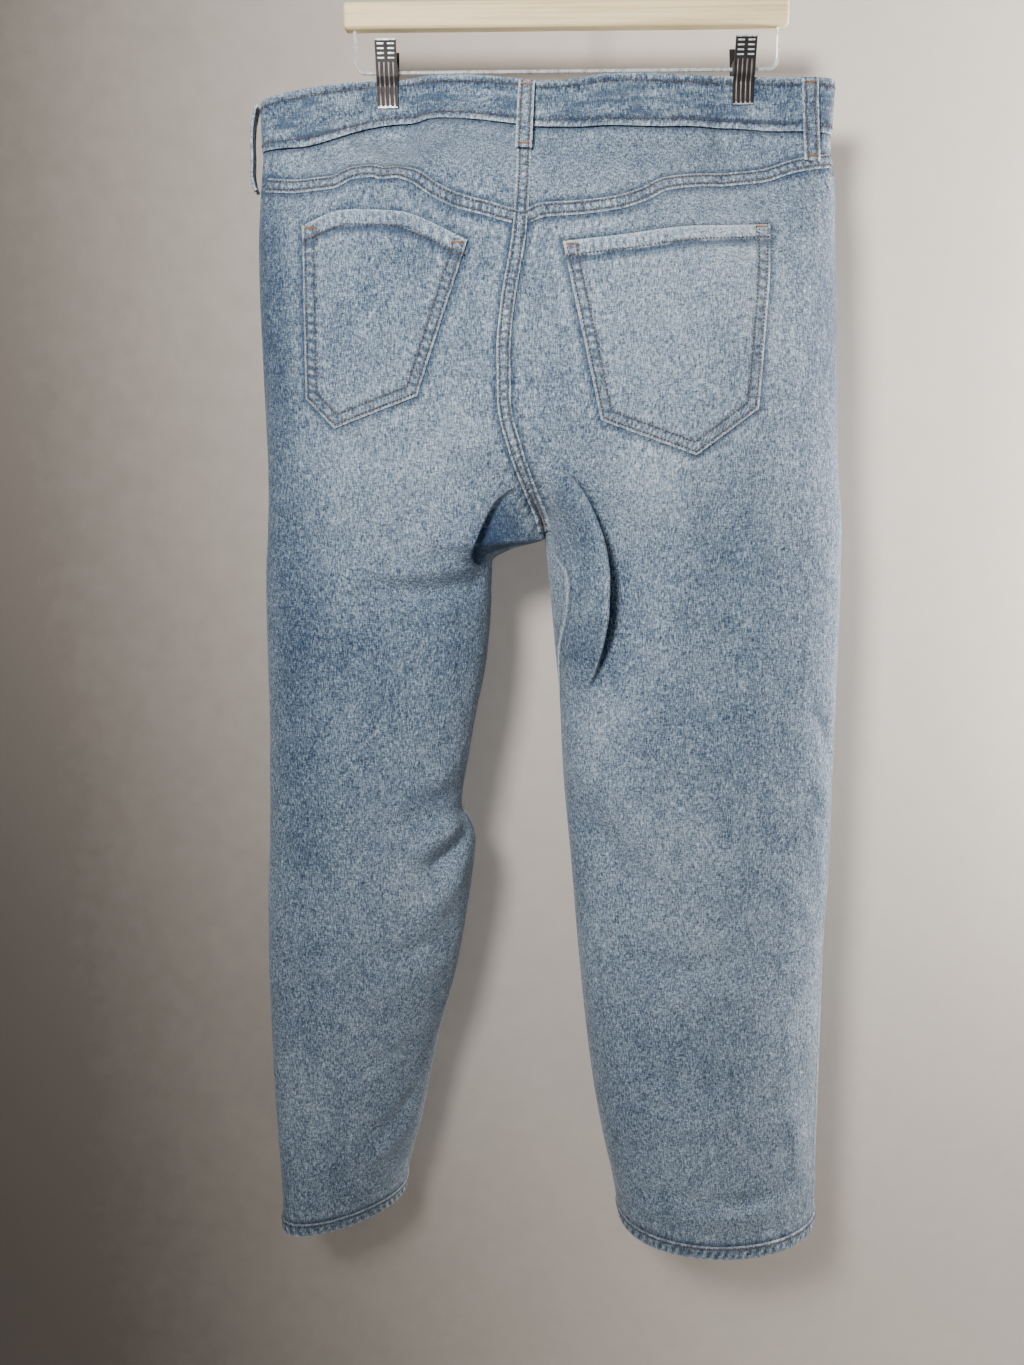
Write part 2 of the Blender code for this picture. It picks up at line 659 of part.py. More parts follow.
def panel_grid(half, face, heights, columns, top_line, bottom):
    """The turns and heights of a panel that runs from a seam line down to a level."""
    heights = np.array([*heights, bottom], float)
    turns, levels = [], []
    for i, height in enumerate(heights):
        back, side, front = half.seams(height)
        share = 1 - (1 - np.linspace(0, 1, columns)) ** FRONT_GATHER
        if face == BACK:
            turn = float(half.turn_at(half.lap.edge_at(height), height))
            centre = (turn - float(back)) / (float(side) - float(back))
            # The leg's wall keeps some of the gathered columns above and below its lap
            middle = (half.lap.top + half.lap.foot) / 2
            near = np.exp(-(((height - middle) / GATHER_SPREAD) ** 2))
            share = gathered(columns, centre, near)
        share = EDGE_STEP + share * (1 - 2 * EDGE_STEP)
        turn = back + share * (side - back) if face == BACK else side + share * (front - side)
        level = np.full(columns, height)
        if i < FADE_ROWS:
            x = half.smooth_point(turn, level)[..., 0]
            level = level + (top_line(x) - heights[0]) * (1 - i / FADE_ROWS)
            back, side, front = half.seams(level)
            turn = back + share * (side - back) if face == BACK else side + share * (front - side)
        turns.append(turn)
        levels.append(level)
    return np.array(turns), np.array(levels)


def back_panel(half):
    """The back of a leg, from under the yoke to the hem."""

    def top(x):
        return along(YOKE_SEAM, "z", x) - SEAM_GAP

    bottom = HEM_LEVEL + HEM_HEIGHT + SEAM_GAP
    turn, z = panel_grid(half, BACK, BACK_ROWS, BACK_COLUMNS, top, bottom)
    cloth(f"back_{half.name}", half, turn, z)


def mouth_line(half, x):
    """The front panel's top edge: the waistband's lower edge, scooped away at the side."""
    side_x = half.column("out", band_bottom(x, FRONT))
    inward = np.clip(1.0 - np.abs(side_x - x) / MOUTH_WIDTH, 0, 1)
    scoop = MOUTH_DEPTH * np.sqrt(np.clip(1.0 - (1.0 - inward) ** 2, 0, 1))
    return band_bottom(x, FRONT) - BAND_GAP - scoop


def front_panel(half):
    """The front of a leg, from the waistband and the pocket's mouth to the hem."""

    def top(x):
        return mouth_line(half, x)

    bottom = HEM_LEVEL + HEM_HEIGHT + SEAM_GAP
    turn, z = panel_grid(half, FRONT, FRONT_ROWS, FRONT_COLUMNS, top, bottom)
    cloth(f"front_{half.name}", half, turn, z)


def yoke(half):
    """The shaped piece between the waistband and a back panel."""
    columns, rows = BACK_COLUMNS, 7
    share = EDGE_STEP + np.linspace(0, 1, columns) * (1 - 2 * EDGE_STEP)
    turns, levels = [], []
    for down in np.linspace(0, 1, rows):
        level = np.full(columns, -200.0)
        for _ in range(3):
            back, side, _front = half.seams(level)
            turn = back + share * (side - back)
            x = half.smooth_point(turn, level)[..., 0]
            high = band_bottom(x, BACK) - BAND_GAP
            low = along(YOKE_SEAM, "z", x) + SEAM_GAP
            level = high + (low - high) * down
        turns.append(turn)
        levels.append(level)
    cloth(f"yoke_{half.name}", half, np.array(turns), np.array(levels))


def waistband():
    """The band round the waist, open only where its two ends meet beside the button."""
    right, left = HALVES[RIGHT], HALVES[LEFT]
    level = BAND_LEVEL
    seam_x = float(centre_seam(FRONT, level))
    start = float(right.turn_at(seam_x + BAND_END_FROM_SEAM - SEAM_GAP / 2, level, FRONT))
    end = float(right.turn_at(seam_x + BAND_END_FROM_SEAM + SEAM_GAP / 2, level, FRONT))
    past_fold, before_fold = 90.0 + FOLD_STEP, 90.0 - FOLD_STEP
    runs = [
        (right, FRONT, np.linspace(start, 180.0, 3)[:-1]),
        (left, FRONT, np.linspace(180.0, past_fold, 24)),
        (left, BACK, np.linspace(before_fold, 0.0, 24)),
        (right, BACK, np.linspace(0.0, before_fold, 24)[1:]),
        (right, FRONT, np.linspace(past_fold, end, 22)),
    ]
    outer, inner = [], []
    for half, face, turns in runs:
        x = half.smooth_point(turns, level)[:, 0]
        top = along(WAIST, "top" if face == BACK else "front_top", x)
        levels = np.linspace(top, band_bottom(x, face), 3)
        outer.append(half.lifted(turns, levels, BAND_PROUD))
        inner.append(half.lifted(turns, levels, BAND_PROUD - BAND_WALL))
    mesh = wall_mesh("waistband", np.concatenate(outer, 1), np.concatenate(inner, 1))
    add("waistband", mesh, "denim")


def grid_piece(name, face, x, z, low, high, material="denim"):
    """A piece laid on the trunk over a grid of x and z, between two lifts above the cloth."""
    outer, inner = placed(face, x, z, high), placed(face, x, z, low)
    return add(name, wall_mesh(name, outer, inner), material)


def polyline_at(points, share):
    """A place on a line through points that lie evenly along it."""
    where = np.linspace(0, 1, len(points))
    xs, zs = zip(*points)
    return np.interp(share, where, xs), np.interp(share, where, zs)


def patch_pocket(half):
    """A back pocket: five sides, with a hem across its mouth."""
    plan = POCKETS[half.side]
    rows, columns = 10, 11
    across = np.linspace(0, 1, columns)
    top_x, top_z = polyline_at(plan.top, across)
    (lx, lz), (tx, tz), (rx, rz) = plan.left_foot, plan.tip, plan.right_foot
    tip = (tx - lx) / (rx - lx)
    foot_x = lx + (rx - lx) * across
    foot_z = np.interp(across, [0, tip, 1], [lz, tz, rz])
    hem = POCKET_HEM / (plan.top[0][1] - lz)
    down = np.concatenate([[0, hem, hem + 0.01], np.linspace(hem, 1, rows - 2)[1:]])
    x = top_x + (foot_x - top_x) * down[:, None]
    z = top_z + (foot_z - top_z) * down[:, None]
    high = np.full(x.shape, POCKET_CLEAR + POCKET_WALL)
    high[:2] += POCKET_HEM_PROUD
    grid_piece(f"pocket_back_{half.name}", BACK, x, z, POCKET_CLEAR, high)


def seam_strip(name, face, path, low, high, width=STRIP_WIDTH):
    """A flat strip of cloth along a path of x, z points."""
    path = np.array(path, float)
    step = np.gradient(path, axis=0)
    across = np.stack([-step[:, 1], step[:, 0]], -1)
    across /= np.linalg.norm(across, axis=1, keepdims=True)
    offsets = np.array([-0.5, 0.0, 0.5]) * width
    x = path[:, 0] + offsets[:, None] * across[:, 0]
    z = path[:, 1] + offsets[:, None] * across[:, 1]
    grid_piece(name, face, x, z, low, high)


def yoke_seams():
    """The flat seams under the two yokes."""
    for half in HALVES.values():
        centre = float(centre_seam(BACK, -248.0))
        out = float(half.column("out", -205.0)) - half.side * SEAM_FROM_SIDE
        start = centre + half.side * (STRIP_WIDTH / 2 + 3.0)
        xs = np.linspace(start, out, 22)
        path = [(x, float(along(YOKE_SEAM, "z", x))) for x in xs]
        lift = YOKE_SEAM_CLEAR
        seam_strip(f"yoke_seam_{half.name}", BACK, path, lift, lift + STRIP_WALL)


def seat_seam():
    """The flat seam down the middle of the seat, from the waistband to the crotch."""
    top = float(band_bottom(-34.0, BACK)) - 1.0
    heights = np.concatenate([np.linspace(top, -420, 12), np.linspace(-430, CROTCH + 28, 7)])
    path = [(float(centre_seam(BACK, z)), z) for z in heights]
    seam_strip("seat_seam", BACK, path, SEAT_CLEAR, SEAT_CLEAR + STRIP_WALL)


def strap(name, spine, across, out, lift):
    """A strap along a spine of points, as wide as a belt loop, moved out by a lift at each."""
    edges = np.array([-0.5, 0.0, 0.5])[:, None, None] * LOOP_WIDTH * across
    inner = spine + edges + out * lift[:, None]
    add(name, wall_mesh(name, inner + out * LOOP_WALL, inner), "denim")


def belt_loops():
    """Straps sewn over the waistband at both ends, and bowed clear of it between."""
    share = np.linspace(0, 1, 10)
    low, high = BAND_PROUD + 2 * CLEAR, SEAT_CLEAR + STRIP_WALL + CLEAR
    lift = low + (high - low) * ease((share - 0.55) / 0.3)
    bow = np.sin(np.pi * share) ** 0.7
    for plan in LOOPS:
        x = plan.top[0] + (plan.bottom[0] - plan.top[0]) * share
        z = plan.top[1] + (plan.bottom[1] - plan.top[1]) * share
        spine = placed(plan.face, x, z, 0.0)
        out = np.array([outward_at(plan.face, *place) for place in zip(x, z)])
        across = np.array([1.0, 0, 0]) - out * out[:, :1]
        across /= np.linalg.norm(across, axis=1, keepdims=True)
        strap(plan.name, spine, across, out, lift + LOOP_BOW * bow)
    z = np.linspace(SIDE_LOOP_TOP, SIDE_LOOP_BOTTOM, len(share))
    spine = HALVES[LEFT].point(90.0, z)
    out = np.tile([-1.0, 0, 0], (len(z), 1))
    across = np.tile([0, 1.0, 0], (len(z), 1))
    strap("loop_back_left", spine, across, out, lift + SIDE_LOOP_BOW * bow)


def hem(half):
    """The turned-up band at the foot of a leg, closed all round."""
    turn = np.linspace(-90, 270, HEM_COLUMNS + 1)[:-1]
    turn, z = np.meshgrid(turn, [HEM_LEVEL + HEM_HEIGHT, HEM_LEVEL])
    outer = half.lifted(turn, z, HEM_PROUD)
    inner = half.lifted(turn, z, HEM_PROUD - HEM_WALL)
    name = f"hem_{half.name}"
    add(name, wall_mesh(name, outer, inner, closed=True), "denim")


def front_grid(half, from_side, low_line, high_line, rows):
    """Turns and heights on a half's front, at distances in from its side seam."""
    turns, levels = [], []
    for down in np.linspace(0, 1, rows):
        level = np.full(len(from_side), -200.0)
        for _ in range(3):
            side_x = half.column("out", level)
            x = side_x - half.side * from_side
            side_turn = half.seams(level)[1]
            turn = np.maximum(half.turn_at(x, level, FRONT), side_turn + SIDE_MARGIN)
            level = high_line(x) + (low_line(x) - high_line(x)) * down
        turns.append(turn)
        levels.append(level)
    return np.array(turns), np.array(levels)


def facing_lift(z):
    """How far the pocket facing lies from the front's outer surface: deeper further down."""
    return -FACING_RECESS - FACING_SINKS * ease((-180.0 - z) / 30.0)


def pocket_facing(half):
    """The cloth that shows behind a front pocket's scooped mouth."""

    def low(x):
        return mouth_line(half, x) - FACING_LAP

    def high(x):
        return band_bottom(x, FRONT) - BAND_GAP

    from_side = np.linspace(0, 1, 9) ** 1.5 * (MOUTH_WIDTH + FACING_LAP)
    turn, z = front_grid(half, from_side, low, high, 6)
    cloth(f"pocket_facing_{half.name}", half, turn, z, lift=facing_lift(z))


def coin_pocket():
    """The small pocket inside the mouth of the wearer's right front pocket."""
    half = HALVES[RIGHT]

    def low(x):
        return mouth_line(half, x) + COIN_CLEAR

    def high(x):
        return band_bottom(x, FRONT) - COIN_TOP

    from_side = np.linspace(COIN_FROM_SIDE, COIN_FROM_SIDE + COIN_WIDTH, 5)
    turn, z = front_grid(half, from_side, low, high, 4)
    lift = facing_lift(z) + COIN_STANDS + COIN_WALL
    cloth("coin_pocket", half, turn, z, lift=lift, wall=COIN_WALL)


def fly():
    """The fly's facing, stitched to the wearer's left of the centre front, with a round foot."""
    down = np.linspace(0, 1, 9)
    width = FLY_WIDTH * np.sqrt(1 - np.clip((down - 0.7) / 0.31, 0, 1) ** 2)
    z = band_bottom(-30.0, FRONT) - 2.0 - FLY_HEIGHT * down[:, None] + np.zeros(5)
    x = centre_seam(FRONT, z) - 1.5 - width[:, None] * np.linspace(0, 1, 5)
    grid_piece("fly", FRONT, x[:, ::-1], z, FLY_CLEAR, FLY_CLEAR + STRIP_WALL)


def zip_tape():
    """The closed zip behind the fly."""
    z = np.linspace(0, -ZIP_HEIGHT, 8)[:, None] + band_bottom(-30.0, FRONT) - 4.0 + np.zeros(4)
    x = centre_seam(FRONT, z) + ZIP_WIDTH * np.linspace(-0.5, 0.5, 4)
    grid_piece("zip", FRONT, x, z, -ZIP_RECESS - ZIP_WALL, -ZIP_RECESS, "pocket_lining")


def turned(name, profile, material, steps=32):
    """A turned piece: a profile of radius and height, top to bottom, round the Z axis."""
    mesh = bpy.data.meshes.new(name)
    points = [(radius * MM, 0.0, height * MM) for radius, height in profile]
    mesh.from_pydata(points, [(i, i + 1) for i in range(len(points) - 1)], [])
    piece = bpy.data.objects.new(name, mesh)
    collection("loose_fit_jeans").objects.link(piece)
    screw = piece.modifiers.new("turn", "SCREW")
    screw.steps = screw.render_steps = steps
    screw.use_merge_vertices = True
    screw.merge_threshold = 0.00001
    mesh.materials.append(finish(material))
    return piece


def waist_button():
    """The round metal button at the centre front."""
    x = float(centre_seam(FRONT, -160.0))
    z = float(along(WAIST, "front_top", x)) - FRONT_BAND / 2
    rim = BUTTON_RADIUS
    profile = [
        (0, BUTTON_HEIGHT), (rim * 0.65, BUTTON_HEIGHT * 0.9), (rim * 0.75, BUTTON_HEIGHT * 0.7),
        (rim * 0.87, BUTTON_HEIGHT * 0.95), (rim, BUTTON_HEIGHT * 0.5), (rim * 0.95, 0), (0, 0),
    ]
    piece = turned("waist_button", profile, "button_metal", steps=24)
    spot = placed(FRONT, x, z, BAND_PROUD + BUTTON_STANDS) * MM
    out = outward_at(FRONT, x, z)
    piece.rotation_euler = (math.atan2(-out[1], out[2]), 0, 0)
    piece.location = spot


def tube(name, points, radius, material, sides=2):
    """A round wire along points in millimetres."""
    curve = bpy.data.curves.new(name, "CURVE")
    curve.dimensions = "3D"
    curve.bevel_depth = radius * MM
    curve.bevel_resolution = sides
    curve.use_fill_caps = True
    line = curve.splines.new("POLY")
    line.points.add(len(points) - 1)
    for spot, (x, y, z) in zip(line.points, points):
        spot.co = (x * MM, y * MM, z * MM, 1)
    curve.materials.append(finish(material))
    wire = bpy.data.objects.new(name, curve)
    collection("loose_fit_jeans").objects.link(wire)
    return wire


def arc(centre_x, centre_z, radius, start, end, steps):
    """Points round an arc in the plane of the hanger, between two angles in degrees."""
    angles = np.radians(np.linspace(start, end, steps))
    return [(centre_x + radius * math.cos(a), 0, centre_z + radius * math.sin(a)) for a in angles]


def hanger_bar():
    """The wooden bar, with its long edges and ends eased."""
    bpy.ops.mesh.primitive_cube_add(size=1)
    bar = bpy.context.object
    bar.name = bar.data.name = "hanger_bar"
    for owner in bar.users_collection:
        owner.objects.unlink(bar)
    collection("loose_fit_jeans").objects.link(bar)
    for vertex in bar.data.vertices:
        vertex.co.x *= BAR_LENGTH * MM
        vertex.co.y *= BAR_THICK * MM
        vertex.co.z *= BAR_HEIGHT * MM
    bar.location = (0, 0, (BAR_TOP - BAR_HEIGHT / 2) * MM)
    edge = bar.modifiers.new("eased", "BEVEL")
    edge.width = BAR_EDGE * MM
    edge.segments = 3
    bar.data.materials.append(finish("wood"))


def hanger_hook():
    """The hook over the bar: a shank, a small bend and a round crook."""
    radius = HOOK_INSIDE + HOOK_WIRE / 2
    centre = -HOOK_INSIDE
    start = math.radians(HOOK_FROM)
    join_x, join_z = radius * math.cos(start), centre + radius * math.sin(start)
    # The small bend turns the upright shank into the line that the crook starts along
    end_x = HOOK_FILLET * (1 - math.cos(start))
    bend_z = join_z + (join_x - end_x) / math.tan(start) + HOOK_FILLET * math.sin(start)
    points = [(0, 0, BAR_TOP + SEAM_GAP), (0, 0, bend_z)]
    points += arc(HOOK_FILLET, bend_z, HOOK_FILLET, 168, HOOK_FROM + 180, 5)
    points += arc(0, centre, radius, HOOK_FROM, HOOK_TO, 22)
    tube("hanger_hook", points, HOOK_WIRE / 2, "chrome")


def hanger_wire():
    """The wire frame that the clips slide on."""
    end = BAR_TOP - BAR_HEIGHT - SEAM_GAP
    side, level, bend = WIRE_HALF_SPAN, WIRE_LEVEL, WIRE_BEND
    points = [(-side, 0, end)]
    points += arc(bend - side, level + bend, bend, 180, 270, 7)
    points += arc(side - bend, level + bend, bend, 270, 360, 7)
    points += [(side, 0, end)]
    tube("hanger_wire", points, WIRE / 2, "chrome")


def sheet(name, profile, thick, x_from, x_to):
    """A bent metal sheet: a profile of y, z points with a thickness, between two x places."""
    profile = np.array(profile, float)
    run = np.gradient(profile, axis=0)
    normal = np.stack([-run[:, 1], run[:, 0]], -1)
    normal /= np.linalg.norm(normal, axis=1, keepdims=True)
    faces = []
    for offset in (0.5, -0.5):
        line = profile + normal * thick * offset
        faces.append(np.array([[(x, y, z) for y, z in line] for x in (x_from, x_to)]))
    mesh = wall_mesh(name, *faces)
    piece = bpy.data.objects.new(name, mesh)
    return piece


def ear_mesh(name, x, side):
    """A flat ear that reaches from a jaw's sheet past the wire."""
    form = bmesh.new()
    bmesh.ops.create_cube(form, size=1)
    reach = -side * EAR_REACH
    root = side * JAW[2].y
    for vertex in form.verts:
        vertex.co.x = (x + vertex.co.x * CLIP_SHEET) * MM
        vertex.co.y = ((reach + root) / 2 + vertex.co.y * abs(root - reach)) * MM
        vertex.co.z = (WIRE_LEVEL + vertex.co.z * 2 * EAR_HALF) * MM
    mesh = bpy.data.meshes.new(name)
    form.to_mesh(mesh)
    form.free()
    return bpy.data.objects.new(name, mesh)


def cylinder_cutter(name, x):
    """A cutter along X, round the wire."""
    form = bmesh.new()
    bmesh.ops.create_cone(form, cap_ends=True, segments=16, radius1=WIRE_HOLE * MM,
                          radius2=WIRE_HOLE * MM, depth=3 * CLIP_WIDTH * MM)
    for vertex in form.verts:
        vertex.co = (vertex.co.z + x * MM, vertex.co.y, WIRE_LEVEL * MM - vertex.co.x)
    mesh = bpy.data.meshes.new(name)
    form.to_mesh(mesh)
    form.free()
    return bpy.data.objects.new(name, mesh)


def combine(piece, other, operation):
    """Joins or cuts a piece with another, which is kept as a hidden guide."""
    collection("cutters").objects.link(other)
    other.hide_render = True
    other.display_type = "WIRE"
    change = piece.modifiers.new(other.name, "BOOLEAN")
    change.operation = operation
    change.object = other


def clip(where, x):
    """A spring clip: two bent jaws with ears round the wire, and the sleeve of its spring."""
    for name, side, step in (("back", -1, 0.0), ("front", 1, EAR_STEP)):
        profile = [(side * row.y, row.z) for row in JAW]
        label = f"clip_{where}_jaw_{name}"
        jaw = sheet(label, profile, CLIP_SHEET, x - CLIP_WIDTH / 2, x + CLIP_WIDTH / 2)
        collection("loose_fit_jeans").objects.link(jaw)
        ear_x = CLIP_WIDTH / 2 - CLIP_SHEET / 2 - step
        for hand, sign in (("left", -1), ("right", 1)):
            combine(jaw, ear_mesh(f"{label}_ear_{hand}", x + sign * ear_x, side), "UNION")
        combine(jaw, cylinder_cutter(f"{label}_hole", x), "DIFFERENCE")
        jaw.data.materials.append(finish("gunmetal"))
    half = CLIP_WIDTH / 2 - EAR_STEP - CLIP_SHEET - CLEAR
    bore, rim = WIRE / 2 + CLEAR, SPRING_RADIUS
    ring = [(bore, half), (rim, half), (rim, -half), (bore, -half), (bore, half)]
    spring = turned(f"clip_{where}_spring", ring, "chrome", steps=16)
    spring.rotation_euler = (0, math.pi / 2, 0)
    spring.location = (x * MM, 0, WIRE_LEVEL * MM)


def main():
    for piece in list(bpy.data.objects):
        bpy.data.objects.remove(piece)
    for half in HALVES.values():
        back_panel(half)
        front_panel(half)
        yoke(half)
        patch_pocket(half)
        pocket_facing(half)
        hem(half)
    waistband()
    yoke_seams()
    seat_seam()
    belt_loops()
    coin_pocket()
    fly()
    zip_tape()
    waist_button()
    hanger_bar()
    hanger_hook()
    hanger_wire()
    for where, x in CLIPS.items():
        clip(where, x)


main()
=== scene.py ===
"""Loose fit jeans hung by the waistband from a wooden clip hanger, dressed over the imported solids.

The back of the jeans faces -Y and the wearer's left is -X. Tables and sizes are in millimetres,
and meshes are in metres.
"""

from __future__ import annotations

import logging
import math
from collections.abc import Callable, Sequence
from dataclasses import dataclass
from enum import Enum

import bmesh
import bpy
import numpy as np
from mathutils import Euler, Matrix, Vector


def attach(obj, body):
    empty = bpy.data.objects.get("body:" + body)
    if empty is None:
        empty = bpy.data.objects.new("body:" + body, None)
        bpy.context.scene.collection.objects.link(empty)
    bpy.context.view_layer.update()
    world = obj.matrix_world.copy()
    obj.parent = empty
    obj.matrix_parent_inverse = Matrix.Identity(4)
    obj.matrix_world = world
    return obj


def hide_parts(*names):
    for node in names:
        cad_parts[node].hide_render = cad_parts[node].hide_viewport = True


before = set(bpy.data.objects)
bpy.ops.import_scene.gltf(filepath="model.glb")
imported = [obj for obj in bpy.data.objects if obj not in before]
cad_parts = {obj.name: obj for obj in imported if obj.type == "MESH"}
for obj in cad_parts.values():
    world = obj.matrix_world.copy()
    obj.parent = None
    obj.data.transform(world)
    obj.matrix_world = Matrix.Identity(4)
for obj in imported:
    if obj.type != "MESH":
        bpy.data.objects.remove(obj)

LOG = logging.getLogger("jeans")
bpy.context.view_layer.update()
MM = 0.001
Array = np.ndarray


class Side(Enum):
    """The wearer's sides, as signs of X."""

    LEFT = -1
    RIGHT = 1


class Face(Enum):
    """The two faces of the jeans: the back is shown to the camera."""

    BACK = 1
    FRONT = -1


@dataclass(frozen=True)
class Cloth:
    """Thicknesses and steps of the sewn layers."""

    wall: float = 1.3
    band_proud: float = 0.9
    band_wall: float = 2.9
    strip_wall: float = 1.0
    pocket_wall: float = 1.3
    pocket_clear: float = 0.4
    loop_wall: float = 1.8
    loop_width: float = 13.0
    hem_height: float = 13.0
    hem_level: float = -1151.0
    hem_proud: float = 0.9
    hem_wall: float = 3.2
    seam_gap: float = 0.25
    fullness: float = 0.85
    crotch: float = -499.0
    saddle: float = 90.0
    back_rise: float = 140.0
    front_rise: float = 120.0
    fold_sharpness: float = 28.0
    seam_calm: float = 14.0
    fold_strength: float = 1.3
    seam_half: float = 5.6
    edge_margin: float = 0.0012


CLOTH = Cloth()


class Table:
    """Rows of named columns, read at any place on a curve that never overshoots its rows."""

    def __init__(self, columns: str, rows: Sequence[Sequence[float]]) -> None:
        """Keeps the rows and works out the slope of every column at every row.

        Args:
            columns: The names of the columns. The first is the place.
            rows: The values, in rising or falling order of place.
        """
        self.names = columns.split()
        values = np.array(rows, float)
        if values[0, 0] > values[-1, 0]:
            values = values[::-1]
        self.place, self.values = values[:, 0], values
        step = np.diff(self.place)[:, None]
        slope = np.diff(values, axis=0) / step
        lean = np.concatenate([slope[:1], np.zeros_like(slope[1:]), slope[-1:]])
        first, second = 2 * step[1:] + step[:-1], step[1:] + 2 * step[:-1]
        low, high = slope[:-1], slope[1:]
        same = low * high > 0
        safe_low, safe_high = np.where(same, low, 1.0), np.where(same, high, 1.0)
        lean[1:-1] = np.where(same, (first + second) / (first / safe_low + second / safe_high), 0)
        self.lean = lean

    def at(self, column: str, place: Array | float) -> Array:
        """One column at any places.

        Args:
            column: The column's name.
            place: The places to read it at.

        Returns:
            The values there.
        """
        c = self.names.index(column)
        at = np.clip(np.asarray(place, float), self.place[0], self.place[-1])
        i = np.clip(np.searchsorted(self.place, at) - 1, 0, len(self.place) - 2)
        step = self.place[i + 1] - self.place[i]
        f = (at - self.place[i]) / step
        low, rise = self.values[i, c], self.values[i + 1, c] - self.values[i, c]
        bend = self.lean[i, c] * f * (1 - f) ** 2 - self.lean[i + 1, c] * f * f * (1 - f)
        return low + f * f * (3 - 2 * f) * rise + step * bend


TRUNK = Table(
    "z left_out right_out back_seam front_seam back front roll",
    [
        (-125, -247, 217, -32, -18, 36, 26, 120),
        (-182, -247, 215, -35, -18, 42, 32, 120),
        (-212, -250, 219, -36, -18, 47, 36, 120),
        (-262, -254, 221, -40, -18, 52, 40, 120),
        (-311, -255, 224, -49, -18, 56, 42, 120),
        (-350, -255, 226, -53, -18, 58, 43, 120),
        (-387, -255, 228, -53, -18, 59, 43, 120),
        (-427, -255, 230, -44, -18, 58, 42, 120),
        (-459, -256, 233, -32, -18, 57, 41, 119),
        (-487, -258, 236, -21, -18, 55, 40, 118),
        (-499, -259, 237, -19, -19, 54, 40, 117),
    ],
)
LEGS = {
    Side.LEFT: [
        (-507, -260, -47, 0, 0, 54, 40, 110),
        (-518, -261, -65, 0, 0, 54, 40, 106),
        (-562, -263, -67, 0, 0, 54, 40, 100),
        (-607, -264, -72, 0, 0, 54, 40, 96),
        (-655, -265, -82, 1, 0, 53, 40, 91),
        (-693, -267, -89, 1, 0, 52, 40, 88),
        (-737, -269, -96, 1, 2, 50, 40, 86),
        (-753, -270, -88, 1, 3, 49, 40, 87),
        (-770, -271, -84, 1, 4, 48, 40, 89),
        (-792, -273, -86, 0, 5, 47, 42, 90),
        (-833, -275, -92, -2, 8, 46, 44, 90),
        (-899, -277, -104, -4, 15, 44, 48, 85),
        (-978, -277, -125, -7, 25, 42, 54, 75),
        (-1074, -275, -145, -10, 33, 40, 60, 63),
        (-1115, -274, -156, -11, 37, 39, 62, 58),
        (-1151, -275, -162, -12, 42, 38, 62, 55),
    ],
    Side.RIGHT: [
        (-507, 237, -18, 0, 0, 54, 40, 122),
        (-518, 237, -17, 0, 0, 54, 40, 123),
        (-553, 238, -14, 0, 0, 55, 40, 125),
        (-590, 238, -11, 0, 0, 56, 40, 125),
        (-634, 238, -7, 0, 0, 57, 40, 123),
        (-701, 238, -4, 0, 0, 58, 38, 121),
        (-797, 238, 4, 0, 0, 59, 36, 117),
        (-874, 236, 10, 0, 0, 61, 34, 113),
        (-1007, 237, 24, 1, 0, 66, 32, 106),
        (-1076, 238, 36, 3, 0, 69, 31, 101),
        (-1103, 239, 42, 4, 0, 70, 30, 98),
        (-1151, 240, 50, 6, 0, 72, 30, 95),
    ],
}
SIDE_SEAM = Table(
    "z left right",
    [(-130, 99, 92), (-260, 97, 91), (-500, 93, 86), (-900, 90, 75), (-1151, 88, 67)],
)
INSEAM = Table(
    "z left right",
    [(-499, 0, 0), (-515, 0, 20), (-530, 0, 27), (-553, 0, 25), (-607, 0, 8), (-650, 0, 0)],
)
WAIST = Table(
    "x top bottom front_top back front hold settle",
    [
        (-250, -149, -186, -149, 12, 12, 8, 120),
        (-214, -142, -186, -143, 12, 12, 8, 110),
        (-180, -136, -178, -138, 8, 9, 12, 90),
        (-158, -133, -168, -134, 2.6, 2.6, 33, 60),
        (-130, -132, -165, -134, 2.6, 2.6, 33, 60),
        (-110, -131, -165, -136, 8, 6, 14, 70),
        (-80, -133, -168, -141, 14, 9, 4, 80),
        (-43, -138, -173, -147, 20, 12, 0, 100),
        (-17, -141, -176, -149, 22, 13, 0, 110),
        (5, -139, -176, -148, 21, 12, 0, 120),
        (34, -134, -174, -144, 17, 9, 0, 130),
        (70, -132, -173, -139, 11, 7, 4, 140),
        (108, -132, -171, -136, 6, 5, 16, 150),
        (127, -132, -171, -134, 2.6, 2.6, 24, 150),
        (157, -133, -173, -134, 2.6, 2.6, 24, 150),
        (188, -135, -176, -136, 8, 8, 12, 130),
        (217, -136, -177, -136, 10, 10, 8, 120),
    ],
)
FRONT_BAND = 38.0
YOKE_SEAM = Table(
    "x z",
    [
        (-252, -212), (-211, -219), (-186, -219), (-170, -213), (-154, -212), (-146, -214),
        (-136, -213), (-122, -217), (-105, -228), (-88, -236), (-66, -242), (-36, -249),
        (-22, -244), (7, -242), (37, -238), (58, -231), (75, -222), (100, -217), (129, -214),
        (156, -211), (180, -205), (218, -198),
    ],
)


@dataclass(frozen=True)
class Fold:
    """A soft ridge or trough along a path of x, z points.

    Height is above 0 for a ridge and below 0 for a trough. Width is where it has mostly faded.
    """

    side: Side
    face: Face
    height: float
    width: float
    path: tuple[tuple[float, float], ...]


